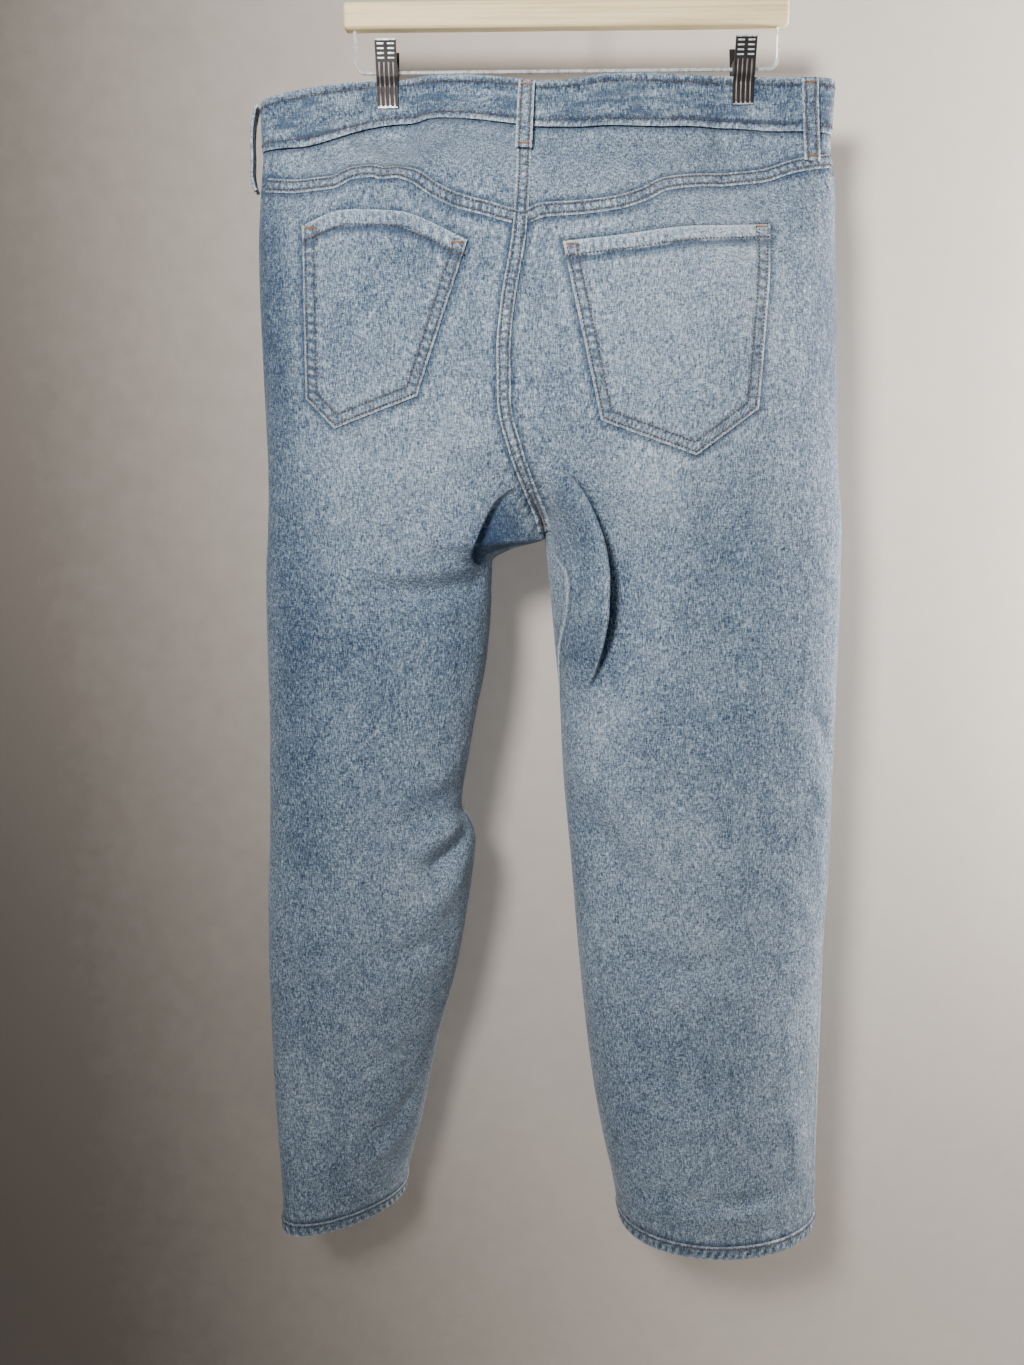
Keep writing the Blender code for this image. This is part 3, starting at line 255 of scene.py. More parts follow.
L, R, B, F = Side.LEFT, Side.RIGHT, Face.BACK, Face.FRONT
FOLDS = (
    Fold(L, B, -7.0, 9, ((-72, -748), (-96, -768), (-126, -790))),
    Fold(L, B, 5.0, 12, ((-80, -730), (-108, -752), (-140, -772))),
    Fold(L, B, 4.0, 12, ((-84, -786), (-112, -812), (-130, -840))),
    Fold(L, B, 3.0, 9, ((-140, -1040), (-162, -1062), (-188, -1084))),
    Fold(L, B, -3.0, 9, ((-130, -1012), (-156, -1040), (-180, -1062))),
    Fold(L, B, -4.5, 11, ((-62, -533), (-110, -541), (-168, -538))),
    Fold(L, B, 3.0, 10, ((-80, -519), (-120, -524), (-160, -522))),
    Fold(L, B, 3.0, 12, ((-157, -184), (-159, -194), (-158, -203))),
    Fold(L, B, -2.0, 10, ((-137, -184), (-138, -193), (-137, -202))),
    Fold(L, B, 2.0, 16, ((-196, -440), (-188, -520), (-176, -600))),
    Fold(L, B, -2.0, 14, ((-228, -450), (-222, -540), (-210, -620))),
    Fold(L, B, 2.0, 12, ((-92, -690), (-130, -716), (-170, -730))),
    Fold(L, B, -1.6, 8, ((-100, -850), (-140, -866), (-190, -868))),
    Fold(L, B, 1.6, 8, ((-104, -880), (-150, -900), (-200, -905))),
    Fold(L, B, -1.5, 7, ((-138, -960), (-170, -975), (-215, -978))),
    Fold(L, F, -20.0, 26, ((-196, -740), (-212, -900), (-222, -1010), (-224, -1180))),
    Fold(L, F, -6.0, 14, ((-60, -520), (-120, -560), (-190, -580))),
    Fold(L, F, 5.0, 20, ((-90, -740), (-160, -790), (-220, -810))),
    Fold(L, F, 3.0, 14, ((-40, -430), (-110, -470), (-200, -480))),
    Fold(L, F, -3.0, 12, ((-40, -460), (-110, -500), (-200, -512))),
    Fold(R, B, 4.0, 22, ((6, -688), (50, -730), (96, -776))),
    Fold(R, B, -3.0, 16, ((4, -730), (40, -770), (70, -810))),
    Fold(R, B, 4.0, 24, ((28, -640), (62, -662), (92, -700))),
    Fold(R, B, -2.0, 7, ((72, -1092), (120, -1095), (190, -1092))),
    Fold(R, B, 1.8, 8, ((70, -1108), (120, -1111), (194, -1106))),
    Fold(R, B, -3.0, 20, ((106, -440), (128, -490), (138, -560), (130, -640))),
    Fold(R, B, 2.2, 18, ((74, -452), (86, -520), (88, -600))),
    Fold(R, B, -1.8, 9, ((44, -862), (96, -872), (150, -862))),
    Fold(R, B, 1.6, 10, ((40, -886), (92, -900), (160, -892))),
    Fold(R, B, -1.8, 8, ((52, -960), (90, -980), (130, -982))),
    Fold(R, B, 1.8, 9, ((60, -1016), (104, -1022), (150, -1010))),
    Fold(R, B, 1.6, 8, ((196, -1010), (206, -1050), (210, -1096))),
    Fold(R, B, -2.0, 7, ((204, -640), (222, -664), (230, -700))),
    Fold(R, B, 1.6, 7, ((206, -700), (222, -720), (230, -744))),
    Fold(R, F, -6.0, 14, ((20, -520), (80, -560), (150, -580))),
    Fold(R, F, 5.0, 20, ((20, -720), (100, -790), (200, -820))),
    Fold(R, F, -5.0, 16, ((60, -1010), (120, -1040), (200, -1060))),
    Fold(R, F, 3.0, 14, ((0, -430), (80, -470), (170, -480))),
    Fold(R, F, -3.0, 12, ((0, -460), (80, -500), (170, -512))),
)


def ease(f: Array | float) -> Array:
    """0 below 0, 1 above 1, and a smooth step between."""
    f = np.clip(f, 0.0, 1.0)
    return f * f * (3 - 2 * f)


def together(*values: Array | float) -> Sequence[Array]:
    """The values as arrays of numbers, spread over each other."""
    return np.broadcast_arrays(*(np.asarray(value, float) for value in values))


def rounding(gap: Array, roll: Array) -> Array:
    """0 at an outline and 1 from a roll's width in, round between."""
    return (1.0 - (1.0 - np.clip(gap / roll, 0, 1)) ** 2) ** (CLOTH.fullness / 2)


def path_distance(x: Array, z: Array, path: Sequence[Sequence[float]]) -> tuple[Array, ...]:
    """How far places lie from a path.

    Args:
        x: The places' x.
        z: The places' z.
        path: The path's x, z points.

    Returns:
        The distance, the side as a sign, and the nearest place's share of the path.
    """
    best = np.full(np.shape(x), np.inf)
    place, side = np.zeros(np.shape(x)), np.ones(np.shape(x))
    steps = len(path) - 1
    for i in range(steps):
        (ax, az), (bx, bz) = path[i], path[i + 1]
        dx, dz = bx - ax, bz - az
        f = np.clip(((x - ax) * dx + (z - az) * dz) / (dx * dx + dz * dz), 0, 1)
        gap = np.hypot(x - ax - f * dx, z - az - f * dz)
        nearer = gap < best
        turned = np.sign((x - ax) * -dz + (z - az) * dx)
        place = np.where(nearer, (i + f) / steps, place)
        side = np.where(nearer, turned, side)
        best = np.where(nearer, gap, best)
    return best, side, place


@dataclass
class Lap:
    """A lap: the cloth stands up along an edge and falls back under it, towards larger x."""

    rows: Sequence[Sequence[float]]
    rise: float
    recess: float
    reach: float
    fall: float = 4.5
    lean: float = 4.5
    steps: int = 60

    def __post_init__(self) -> None:
        """Lays a smooth edge through the rows of x, z and height."""
        table = Table("order x z height", [(i, *row) for i, row in enumerate(self.rows)])
        order = np.linspace(0, len(self.rows) - 1, self.steps)
        self.xs, self.zs = table.at("x", order), table.at("z", order)
        self.heights = table.at("height", order)
        self.share = np.linspace(0, 1, self.steps)
        self.path = list(zip(self.xs, self.zs))

    def edge_at(self, z: Array) -> Array:
        """The x of the edge at a height."""
        return np.interp(-np.asarray(z, float), -self.zs, self.xs)

    def at(self, x: Array, z: Array) -> tuple[Array, ...]:
        """How far the lap moves the cloth.

        Args:
            x: The places' x.
            z: The places' z.

        Returns:
            The lift, and the lean across the edge in x and in z.
        """
        gap, side, place = path_distance(x, z, self.path)
        height = np.interp(place, self.share, self.heights)
        run_x = np.interp(place, self.share, np.gradient(self.xs))
        run_z = np.interp(place, self.share, np.gradient(self.zs))
        length = np.hypot(run_x, run_z)
        q = gap * side
        before = np.exp(-((q / self.rise) ** 2))
        past = np.clip(q - self.fall, 0, None)
        recess = -self.recess * np.exp(-((past / self.reach) ** 2))
        down = ease((q + self.fall) / (2 * self.fall))
        lift = height * (np.where(q < 0, before, 1.0) * (1 - down) + recess * down)
        strength = height / self.heights.max()
        lean = -self.lean * strength * np.sin(np.pi * np.clip(q / self.fall / 1.6, -1, 1))
        return lift, lean * -run_z / length, lean * run_x / length


LAPS = {
    Side.LEFT: Lap(
        [(-36, -448, 0), (-46, -457, 1), (-59, -466, 3), (-69, -480, 6), (-77, -497, 7.5),
         (-82, -511, 7), (-79, -519, 4), (-70, -525, 0)],
        rise=26.0, recess=0.4, reach=22.0, fall=3.2, lean=2.8,
    ),
    Side.RIGHT: Lap(
        [(-18, -439, 0), (-2, -446, 8), (9, -459, 15), (19, -479, 20), (27, -502, 22),
         (31, -530, 22), (31, -557, 20), (28, -584, 15), (22, -612, 7), (8, -640, 0)],
        rise=30.0, recess=0.35, reach=26.0, fall=4.2, lean=4.0,
    ),
}


class LegSurface:
    """One leg with its half of the trunk: the surface that its cloth lies on.

    A place on it is a turn, in degrees, and a height. The turn is 0 at the middle of the back,
    90 at the side outline, 180 at the middle of the front and -90 at the inner outline.
    """

    def __init__(self, side: Side) -> None:
        """Gathers the leg's table, lap and folds.

        Args:
            side: The wearer's side.
        """
        self.side = side
        self.name = side.name.lower()
        out = f"{self.name}_out"
        rows = [
            (z, TRUNK.at(out, z), TRUNK.at("back_seam", z), TRUNK.at("front_seam", z), 0, 0,
             TRUNK.at("back", z), TRUNK.at("front", z), TRUNK.at("roll", z))
            for z in TRUNK.place[::-1]
        ]
        rows += [(z, o, i, i, yo, yi, b, f, r) for z, o, i, yo, yi, b, f, r in LEGS[side]]
        self.table = Table("z out back_inner front_inner y_out y_inner back front roll", rows)
        self.lap = LAPS[side]
        self.folds = [fold for fold in FOLDS if fold.side == side]

    def column(self, name: str, z: Array) -> Array:
        """One column of this leg's table at a height."""
        return self.table.at(name, z)

    def rise_turn(self, z: Array, reach: Array | float) -> Array:
        """The turn of a centre seam: 0 high on the trunk, and -90 at the crotch and below."""
        up = np.clip((z - CLOTH.crotch) / reach, 0.0, 1.0)
        return -90.0 * (1.0 - np.sqrt(up)) ** 2

    def seams(self, z: Array) -> tuple[Array, Array, Array]:
        """The turns of the back's inner edge, the side seam and the front's inner edge.

        Args:
            z: The heights.

        Returns:
            The three turns.
        """
        z = np.asarray(z, float)
        past = np.where(z <= CLOTH.crotch, INSEAM.at(self.name, z), 0.0)
        back = self.rise_turn(z, CLOTH.back_rise) + past
        front = 180.0 - self.rise_turn(z, CLOTH.front_rise) + past
        return back, SIDE_SEAM.at(self.name, z), front

    def inner(self, z: Array, on_back: Array) -> Array:
        """The x of the centre seam or inner outline, as the given face has it."""
        return np.where(on_back, self.column("back_inner", z), self.column("front_inner", z))

    def section(self, z: Array, on_back: Array) -> tuple[Array, Array]:
        """The middle and the half width of a section, as the given face has them.

        Args:
            z: The heights.
            on_back: Whether each place is on the back.

        Returns:
            The middle's x and the half width.
        """
        out = self.column("out", z)
        reach = np.where(on_back, CLOTH.back_rise, CLOTH.front_rise)
        turned = 1.0 - np.sin(np.radians(self.rise_turn(z, reach)))
        width = (out - self.inner(z, on_back)) / turned
        return out - width, width

    def smooth_point(self, turn: Array, z: Array) -> Array:
        """The surface without its folds.

        Args:
            turn: The turns.
            z: The heights.

        Returns:
            The points.
        """
        turn, z = together(turn, z)
        sine, cosine = np.sin(np.radians(turn)), np.cos(np.radians(turn))
        on_back = cosine >= 0
        middle, width = self.section(z, on_back)
        x = middle + width * sine
        roll = self.column("roll", z)
        from_out, from_inner = self.from_seams(x, z, on_back)
        up = np.clip(1.0 - (z - CLOTH.crotch) / CLOTH.saddle, 0.0, 1.0)
        closed = up**3 * (4.0 - 3.0 * up)
        depth = rounding(from_out, roll) * (1.0 - closed * (1.0 - rounding(from_inner, roll)))
        full = depth * np.where(on_back, -self.column("back", z), self.column("front", z))
        flat = np.where(on_back, -WAIST.at("back", x), WAIST.at("front", x))
        flat = flat * np.sqrt(np.clip(1.0 - np.abs(sine) ** CLOTH.fold_sharpness, 0, 1))
        top = np.where(on_back, WAIST.at("top", x), WAIST.at("front_top", x))
        swell = ease((top - z - WAIST.at("hold", x)) / WAIST.at("settle", x))
        out, inner = self.column("out", z), self.column("back_inner", z)
        share = np.clip((x - inner) / (out - inner), 0, 1)
        y_out, y_inner = self.column("y_out", z), self.column("y_inner", z)
        y = y_inner + (y_out - y_inner) * share + flat * (1 - swell) + full * swell
        return np.stack([x, y, z], -1)

    def from_seams(self, x: Array, z: Array, on_back: Array) -> tuple[Array, Array]:
        """How far an x is from the side outline, and from the centre seam or inner outline."""
        return np.abs(self.column("out", z) - x), np.abs(x - self.inner(z, on_back))

    def outward(self, make: Callable, turn: Array, z: Array) -> Array:
        """The outward direction of a surface function at a place.

        Args:
            make: The surface function.
            turn: The turns.
            z: The heights.

        Returns:
            Unit directions.
        """
        across = make(turn + 0.4, z) - make(turn - 0.4, z)
        down = make(turn, z - 1.0) - make(turn, z + 1.0)
        out = np.cross(across, down) * -self.side.value
        return out / np.linalg.norm(out, axis=-1, keepdims=True)

    def fold_height(self, x: Array, z: Array, on_back: Array) -> Array:
        """How far the soft folds stand out of the smooth surface.

        Args:
            x: The places' x.
            z: Their heights.
            on_back: Whether each is on the back.

        Returns:
            The height, below 0 in a trough.
        """
        height = np.zeros(np.shape(x))
        for fold in self.folds:
            gap, _side, place = path_distance(x, z, fold.path)
            taper = np.sqrt(np.clip(np.sin(np.pi * np.clip(place, 0.02, 0.98)), 0, 1))
            bump = CLOTH.fold_strength * fold.height * np.exp(-((gap / fold.width) ** 2)) * taper
            height += np.where(on_back == (fold.face == Face.BACK), bump, 0.0)
        return height

    def point(self, turn: Array, z: Array) -> Array:
        """The cloth's outer surface, folds and lap included.

        Args:
            turn: The turns.
            z: The heights.

        Returns:
            The points.
        """
        turn, z = together(turn, z)
        smooth = self.smooth_point(turn, z)
        out = self.outward(self.smooth_point, turn, z)
        on_back = np.cos(np.radians(turn)) >= 0
        from_out, from_inner = self.from_seams(smooth[..., 0], z, on_back)
        free = ease(from_out / CLOTH.seam_calm) * ease(from_inner / CLOTH.seam_calm)
        lift = self.fold_height(smooth[..., 0], z, on_back)
        lap, lean_x, lean_z = self.lap.at(smooth[..., 0], z)
        point = smooth + out * (lift * free)[..., None]
        return point + np.stack([lean_x, -lap, lean_z], -1) * (free * on_back)[..., None]

    def lifted(self, turn: Array, z: Array, lift: Array | float) -> Array:
        """The cloth's surface moved outwards.

        Args:
            turn: The turns.
            z: The heights.
            lift: How far outwards.

        Returns:
            The points.
        """
        turn, z = together(turn, z)
        lift = np.broadcast_to(lift, turn.shape)[..., None]
        return self.point(turn, z) + self.outward(self.point, turn, z) * lift

    def turn_at(self, x: Array, z: Array, face: Face = Face.BACK) -> Array:
        """The turn where the smooth surface has this x.

        Args:
            x: The x to find.
            z: The heights.
            face: The face that it is on.

        Returns:
            The turns.
        """
        on_back = np.full(np.shape(z), face == Face.BACK)
        middle, width = self.section(np.asarray(z, float), on_back)
        turn = np.degrees(np.arcsin(np.clip((x - middle) / width, -1, 1)))
        return turn if face == Face.BACK else 180.0 - turn


SURFACES = {side: LegSurface(side) for side in Side}


def centre_seam(face: Face, z: Array | float) -> Array:
    """The x of the seam between the two halves, at a height above the crotch."""
    return TRUNK.at("back_seam" if face == Face.BACK else "front_seam", z)


def placed(face: Face, x: Array, z: Array, lift: Array | float) -> Array:
    """Points over the trunk, at arrays of x and height, moved outwards.

    Args:
        face: The face of the jeans.
        x: The points' x.
        z: Their heights.
        lift: How far outwards.

    Returns:
        The points.
    """
    x, z, lift = together(x, z, lift)
    sides = [leg.lifted(leg.turn_at(x, z, face), z, lift) for leg in SURFACES.values()]
    return np.where((x < centre_seam(face, z))[..., None], *sides)


def band_bottom(x: Array | float, face: Face) -> Array:
    """The height of the waistband's lower edge.

    Args:
        x: Any x.
        face: The face of the jeans.

    Returns:
        The edge's height there.
    """
    if face == Face.BACK:
        return WAIST.at("bottom", x)
    return WAIST.at("front_top", x) - FRONT_BAND


def grid_normals(points: Array, towards: Array, closed: bool = False) -> Array:
    """Unit normals of a grid of points.

    Args:
        points: Rows by columns of points.
        towards: Directions, broadcast over the grid, that most normals agree with.
        closed: Whether the last column meets the first.

    Returns:
        The normals, rows by columns.
    """
    if closed:
        across = np.roll(points, -1, axis=1) - np.roll(points, 1, axis=1)
    else:
        across = np.gradient(points, axis=1)
    normal = np.cross(across, np.gradient(points, axis=0))
    normal /= np.maximum(np.linalg.norm(normal, axis=-1, keepdims=True), 1e-9)
    return normal * (1.0 if np.sum(normal * towards) > 0 else -1.0)


def linked(name: str, data: bpy.types.ID) -> bpy.types.Object:
    """A new object, linked to the scene.

    Args:
        name: The object's name.
        data: Its mesh, lamp or lens.

    Returns:
        The object.
    """
    made = bpy.data.objects.new(name, data)
    bpy.context.scene.collection.objects.link(made)
    return made


def keep_attributes(mesh: bpy.types.Mesh, layers: dict[str, Array]) -> None:
    """Stores colour attributes on a mesh's points.

    Args:
        mesh: The mesh.
        layers: Each attribute's name and values.
    """
    for name, values in layers.items():
        layer = mesh.attributes.new(name, "FLOAT_COLOR", "POINT")
        layer.data.foreach_set("color", np.ascontiguousarray(values, np.float32).ravel())


def shell(
    name: str,
    outer: Array,
    wall: Array | float,
    towards: Array,
    layers: dict[str, Array],
    closed: bool = False,
) -> bpy.types.Object:
    """A cloth wall from a grid of outer points.

    Args:
        name: The piece's name.
        outer: Rows by columns of points, in millimetres.
        wall: The thickness, one number or one for each point.
        towards: Directions that the outer face looks to, broadcast over the grid.
        layers: Colour attributes for the grid, rows by columns by 4.
        closed: Whether the last column meets the first, as round a leg.

    Returns:
        The piece, linked to the scene.
    """
    rows, columns = outer.shape[:2]
    normal = grid_normals(outer, towards, closed)
    inner = outer - normal * np.broadcast_to(wall, (rows, columns))[..., None]
    points = np.concatenate([outer.reshape(-1, 3), inner.reshape(-1, 3)]) * MM
    count, spans = rows * columns, columns if closed else columns - 1
    r, c = np.meshgrid(np.arange(rows - 1), np.arange(spans), indexing="ij")
    a, b = (r * columns + c).ravel(), (r * columns + (c + 1) % columns).ravel()
    d, e = a + columns, b + columns
    faces = [np.stack([a, b, e, d], 1), np.stack([a, d, e, b], 1) + count]
    rim = np.arange(spans)
    top, following = rim, (rim + 1) % columns
    foot, foot_next = top + (rows - 1) * columns, following + (rows - 1) * columns
    faces.append(np.stack([top, top + count, following + count, following], 1))
    faces.append(np.stack([foot, foot_next, foot_next + count, foot + count], 1))
    if not closed:
        left = np.arange(rows - 1) * columns
        right = left + columns - 1
        faces.append(np.stack([left, left + columns, left + columns + count, left + count], 1))
        faces.append(np.stack([right, right + count, right + columns + count, right + columns], 1))
    quads = np.concatenate(faces)
    across = outer[0, 1] - outer[0, 0]
    if np.dot(np.cross(across, outer[1, 0] - outer[0, 0]), normal[0, 0]) > 0:
        quads = quads[:, ::-1]
    mesh = bpy.data.meshes.new(name)
    mesh.from_pydata(points.tolist(), [], quads[:, ::-1].tolist())
    keep_attributes(mesh, {
        key: np.concatenate([value.reshape(-1, 4)] * 2) for key, value in layers.items()
    })
    mesh.shade_smooth()
    mesh.set_sharp_from_angle(angle=math.radians(50))
    return linked(name, mesh)


class Graph:
    """Short ways to add nodes to a node tree and join them."""

    def __init__(self, tree: bpy.types.NodeTree) -> None:
        """Keeps the tree."""
        self.tree = tree

    def node(self, kind: str, inputs: dict | None = None, **settings: object) -> bpy.types.Node:
        """Adds a node.

        Args:
            kind: The node's type.
            inputs: Values or sockets for its inputs, by name or number.
            settings: The node's own settings.

        Returns:
            The node.
        """
        made = self.tree.nodes.new(kind)
        for key, value in settings.items():
            setattr(made, key, value)
        self.fill(made, inputs or {})
        return made

    def fill(self, node: bpy.types.Node, inputs: dict) -> None:
        """Joins sockets to a node's inputs, and sets plain values on the others.

        Args:
            node: The node.
            inputs: Values or sockets, by the input's name or number.
        """
        for key, value in inputs.items():
            if isinstance(value, bpy.types.NodeSocket):
                self.tree.links.new(value, node.inputs[key])
            else:
                node.inputs[key].default_value = value

    def math(self, operation: str, *values: object, clamp: bool = False) -> bpy.types.NodeSocket:
        """The result of a sum on one to three numbers or sockets."""
        inputs = dict(enumerate(values))
        return self.node("ShaderNodeMath", inputs, operation=operation, use_clamp=clamp).outputs[0]

    def total(self, start: object, *parts: tuple[object, float]) -> bpy.types.NodeSocket:
        """A start value with each part added, times its weight.

        Args:
            start: The start value.
            parts: Each part with its weight.

        Returns:
            The sum's socket.
        """
        value = start
        for part, weight in parts:
            value = self.math("MULTIPLY_ADD", part, weight, value)
        return value

    def noise(self, place: object, scale: Sequence[float], detail: float = 1.0) -> object:
        """Noise about 0, at a scale for each axis in cells a metre.

        Args:
            place: The coordinates.
            scale: Cells a metre for each axis.
            detail: How many finer layers it has.

        Returns:
            The noise's socket.
        """
        scaled = self.node("ShaderNodeVectorMath", {0: place, 1: tuple(scale)},
                           operation="MULTIPLY").outputs[0]
        made = self.node("ShaderNodeTexNoise", {"Vector": scaled, "Scale": 1.0, "Detail": detail})
        return self.math("SUBTRACT", made.outputs["Fac"], 0.5)

    def ramp(self, factor: object, stops: Sequence[tuple[float, tuple]]) -> object:
        """A colour along a row of stops.

        Args:
            factor: The place along it.
            stops: Each stop's place and colour.

        Returns:
            The colour's socket.
        """
        made = self.node("ShaderNodeValToRGB", {"Fac": factor})
        band = made.color_ramp
        while len(band.elements) < len(stops):
            band.elements.new(0.5)
        for element, (place, colour) in zip(band.elements, stops):
            element.position = place
            element.color = (*colour, 1.0)
        return made.outputs["Color"]

    def blend(self, factor: object, low: object, high: object) -> object:
        """A colour between two."""
        inputs = {0: factor, 6: low, 7: high}
        return self.node("ShaderNodeMix", inputs, data_type="RGBA").outputs[2]

    def bump(self, height: object, strength: float, distance: float) -> object:
        """A normal bumped by a height."""
        inputs = {"Height": height, "Strength": strength, "Distance": distance}
        return self.node("ShaderNodeBump", inputs).outputs["Normal"]


def surface(name: str) -> tuple[bpy.types.Material, Graph, bpy.types.Node, object]:
    """A new material.

    Args:
        name: Its name.

    Returns:
        The material, its graph, its shader node and the object coordinates.
    """
    material = bpy.data.materials.new(name)
    material.use_nodes = True
    graph = Graph(material.node_tree)
    shader = material.node_tree.nodes["Principled BSDF"]
    return material, graph, shader, graph.node("ShaderNodeTexCoord").outputs["Object"]


Colour = tuple[float, float, float]


@dataclass(frozen=True)
class Denim:
    """Washed denim: slubs down the warp, fine weft, clouds of wear, and tones kept on the mesh,
    which also carry painted shade and highlights.
    """

    name: str = "washed_denim"
    deep: Colour = (0.012, 0.032, 0.090)
    dark: Colour = (0.066, 0.098, 0.146)
    middle: Colour = (0.162, 0.216, 0.286)
    light: Colour = (0.332, 0.410, 0.498)
    pale: Colour = (0.620, 0.680, 0.730)
    indigo_and_shade: Colour = (0.040, 0.070, 0.125)
    indigo_and_shade_strength: float = 0.68

    def build(self) -> bpy.types.Material:
        """Builds the material. The mesh's Tone has paleness, indigo and pucker; the paleness and
        indigo also carry painted shade and highlights.

        Returns:
            The material.
        """
        material, graph, shader, place = surface(self.name)
        tone = graph.node("ShaderNodeAttribute", attribute_name="Tone")
        parts = graph.node("ShaderNodeSeparateColor", {0: tone.outputs["Color"]}).outputs
        slub = graph.noise(place, (1250, 1250, 260), 2.0)
        weft = graph.noise(place, (300, 300, 1100), 1.0)
        grain = graph.noise(place, (1500, 1500, 1300), 1.0)
        fleck = graph.noise(place, (430, 430, 380), 2.0)
        blotch = graph.noise(place, (62, 62, 48), 3.0)
        cloud = graph.noise(place, (11, 11, 8), 2.0)
        value = graph.total(
            parts[0], (slub, 1.40), (weft, 0.70), (grain, 0.80), (fleck, 0.50), (blotch, 0.26),
            (cloud, 0.30),
        )
        colour = graph.ramp(value, [(0.0, self.deep), (0.25, self.dark), (0.5, self.middle),
                                    (0.75, self.light), (1.0, self.pale)])
        # Mix towards deep blue: the cloth's own dark indigo marks, and painted shade from the Tone.
        indigo_and_shade_mix = graph.math("MULTIPLY_ADD", fleck, 1.2, graph.math("MULTIPLY", parts[1], 1.1))
        indigo_and_shade_mix = graph.math("MULTIPLY", indigo_and_shade_mix, graph.math("MULTIPLY", parts[1], 3.0, clamp=True),
                           clamp=True)
        indigo_and_shade_mix = graph.math("MULTIPLY", indigo_and_shade_mix, self.indigo_and_shade_strength)
        colour = graph.blend(indigo_and_shade_mix, colour, (*self.indigo_and_shade, 1.0))
        self.dress(graph, shader, colour, place, (slub, weft, grain, parts[2]))
        return material

    def dress(self, graph: Graph, shader: bpy.types.Node, colour: object, place: object,
              relief: tuple) -> None:
        """Joins the colour and the cloth's relief to the shader.

        Args:
            graph: The material's graph.
            shader: Its shader.
            colour: The finished colour.
            place: The object coordinates.
            relief: The slub, weft and grain, and the pucker.
        """
        slub, weft, grain, pucker = relief
        ripple = graph.noise(place, (150, 150, 120), 2.0)
        crumple = graph.noise(place, (52, 52, 34), 3.0)
        ripple = graph.math("MULTIPLY", ripple, pucker)
        coarse = graph.bump(graph.total(graph.math("MULTIPLY", crumple, 0.45), (ripple, 1.0)),
                            0.8, 0.009)
        twill = graph.node("ShaderNodeTexWave", {"Vector": place, "Scale": 260.0,
                           "Distortion": 0.4}, bands_direction="DIAGONAL").outputs["Fac"]
        fine = graph.total(graph.math("MULTIPLY", twill, 0.12), (slub, 0.8), (weft, 0.4),
                           (grain, 0.6))
        weave = graph.node("ShaderNodeBump", {"Height": fine, "Strength": 0.55,
                           "Distance": 0.0006, "Normal": coarse}).outputs["Normal"]
        graph.fill(shader, {
            "Base Color": colour,
            "Roughness": graph.math("MULTIPLY_ADD", slub, 0.25, 0.86, clamp=True),
            "Normal": weave, "Sheen Weight": 0.18, "Sheen Roughness": 0.45,
            "Specular IOR Level": 0.22,
        })


@dataclass(frozen=True)
class Thread:
    """Sewing thread: twisted, a little uneven in colour."""

    name: str
    dark: Colour
    light: Colour

    def build(self) -> bpy.types.Material:
        """Builds the material.

        Returns:
            The material.
        """
        material, graph, shader, place = surface(self.name)
        patch = graph.noise(place, (160, 160, 160), 2.0)
        twist = graph.noise(place, (2400, 2400, 2400), 1.0)
        value = graph.total(0.5, (patch, 1.5), (twist, 0.8))
        graph.fill(shader, {
            "Base Color": graph.ramp(value, [(0.15, self.dark), (0.85, self.light)]),
            "Roughness": graph.math("MULTIPLY_ADD", twist, 0.3, 0.7, clamp=True),
            "Normal": graph.bump(twist, 0.5, 0.0003), "Sheen Weight": 0.2,
        })
        return material


@dataclass(frozen=True)
class Wood:
    """Pale planed pine, its grain along X."""

    name: str = "pale_pine"
    late: Colour = (0.74, 0.50, 0.23)
    early: Colour = (0.98, 0.80, 0.46)

    def build(self) -> bpy.types.Material:
        """Builds the material.

        Returns:
            The material.
        """
        material, graph, shader, place = surface(self.name)
        bend = graph.noise(place, (9, 60, 60), 2.0)
        rings = graph.noise(place, (7, 160, 420), 3.0)
        pores = graph.noise(place, (120, 1400, 1800), 1.0)
        value = graph.total(0.62, (bend, 0.6), (rings, 1.1), (pores, 0.35))
        graph.fill(shader, {
            "Base Color": graph.ramp(value, [(0.2, self.late), (0.7, self.early)]),
            "Roughness": graph.math("MULTIPLY_ADD", rings, 0.3, 0.52, clamp=True),
            "Normal": graph.bump(graph.total(rings, (pores, 0.6)), 0.35, 0.0006),
        })
        return material


@dataclass(frozen=True)
class Metal:
    """Plated metal with fine marks and a little tarnish."""

    name: str
    bright: Colour
    dull: Colour
    roughness: float = 0.2
    metallic: float = 1.0

    def build(self) -> bpy.types.Material:
        """Builds the material.

        Returns:
            The material.
        """
        material, graph, shader, place = surface(self.name)
        tarnish = graph.noise(place, (220, 220, 220), 3.0)
        scratch = graph.noise(place, (3000, 600, 300), 1.0)
        value = graph.total(0.6, (tarnish, 1.2), (scratch, 0.4))
        graph.fill(shader, {
            "Base Color": graph.ramp(value, [(0.1, self.dull), (0.8, self.bright)]),
            "Roughness": graph.math("MULTIPLY_ADD", tarnish, 0.35, self.roughness, clamp=True),
            "Normal": graph.bump(scratch, 0.2, 0.0002), "Metallic": self.metallic,
        })
        return material


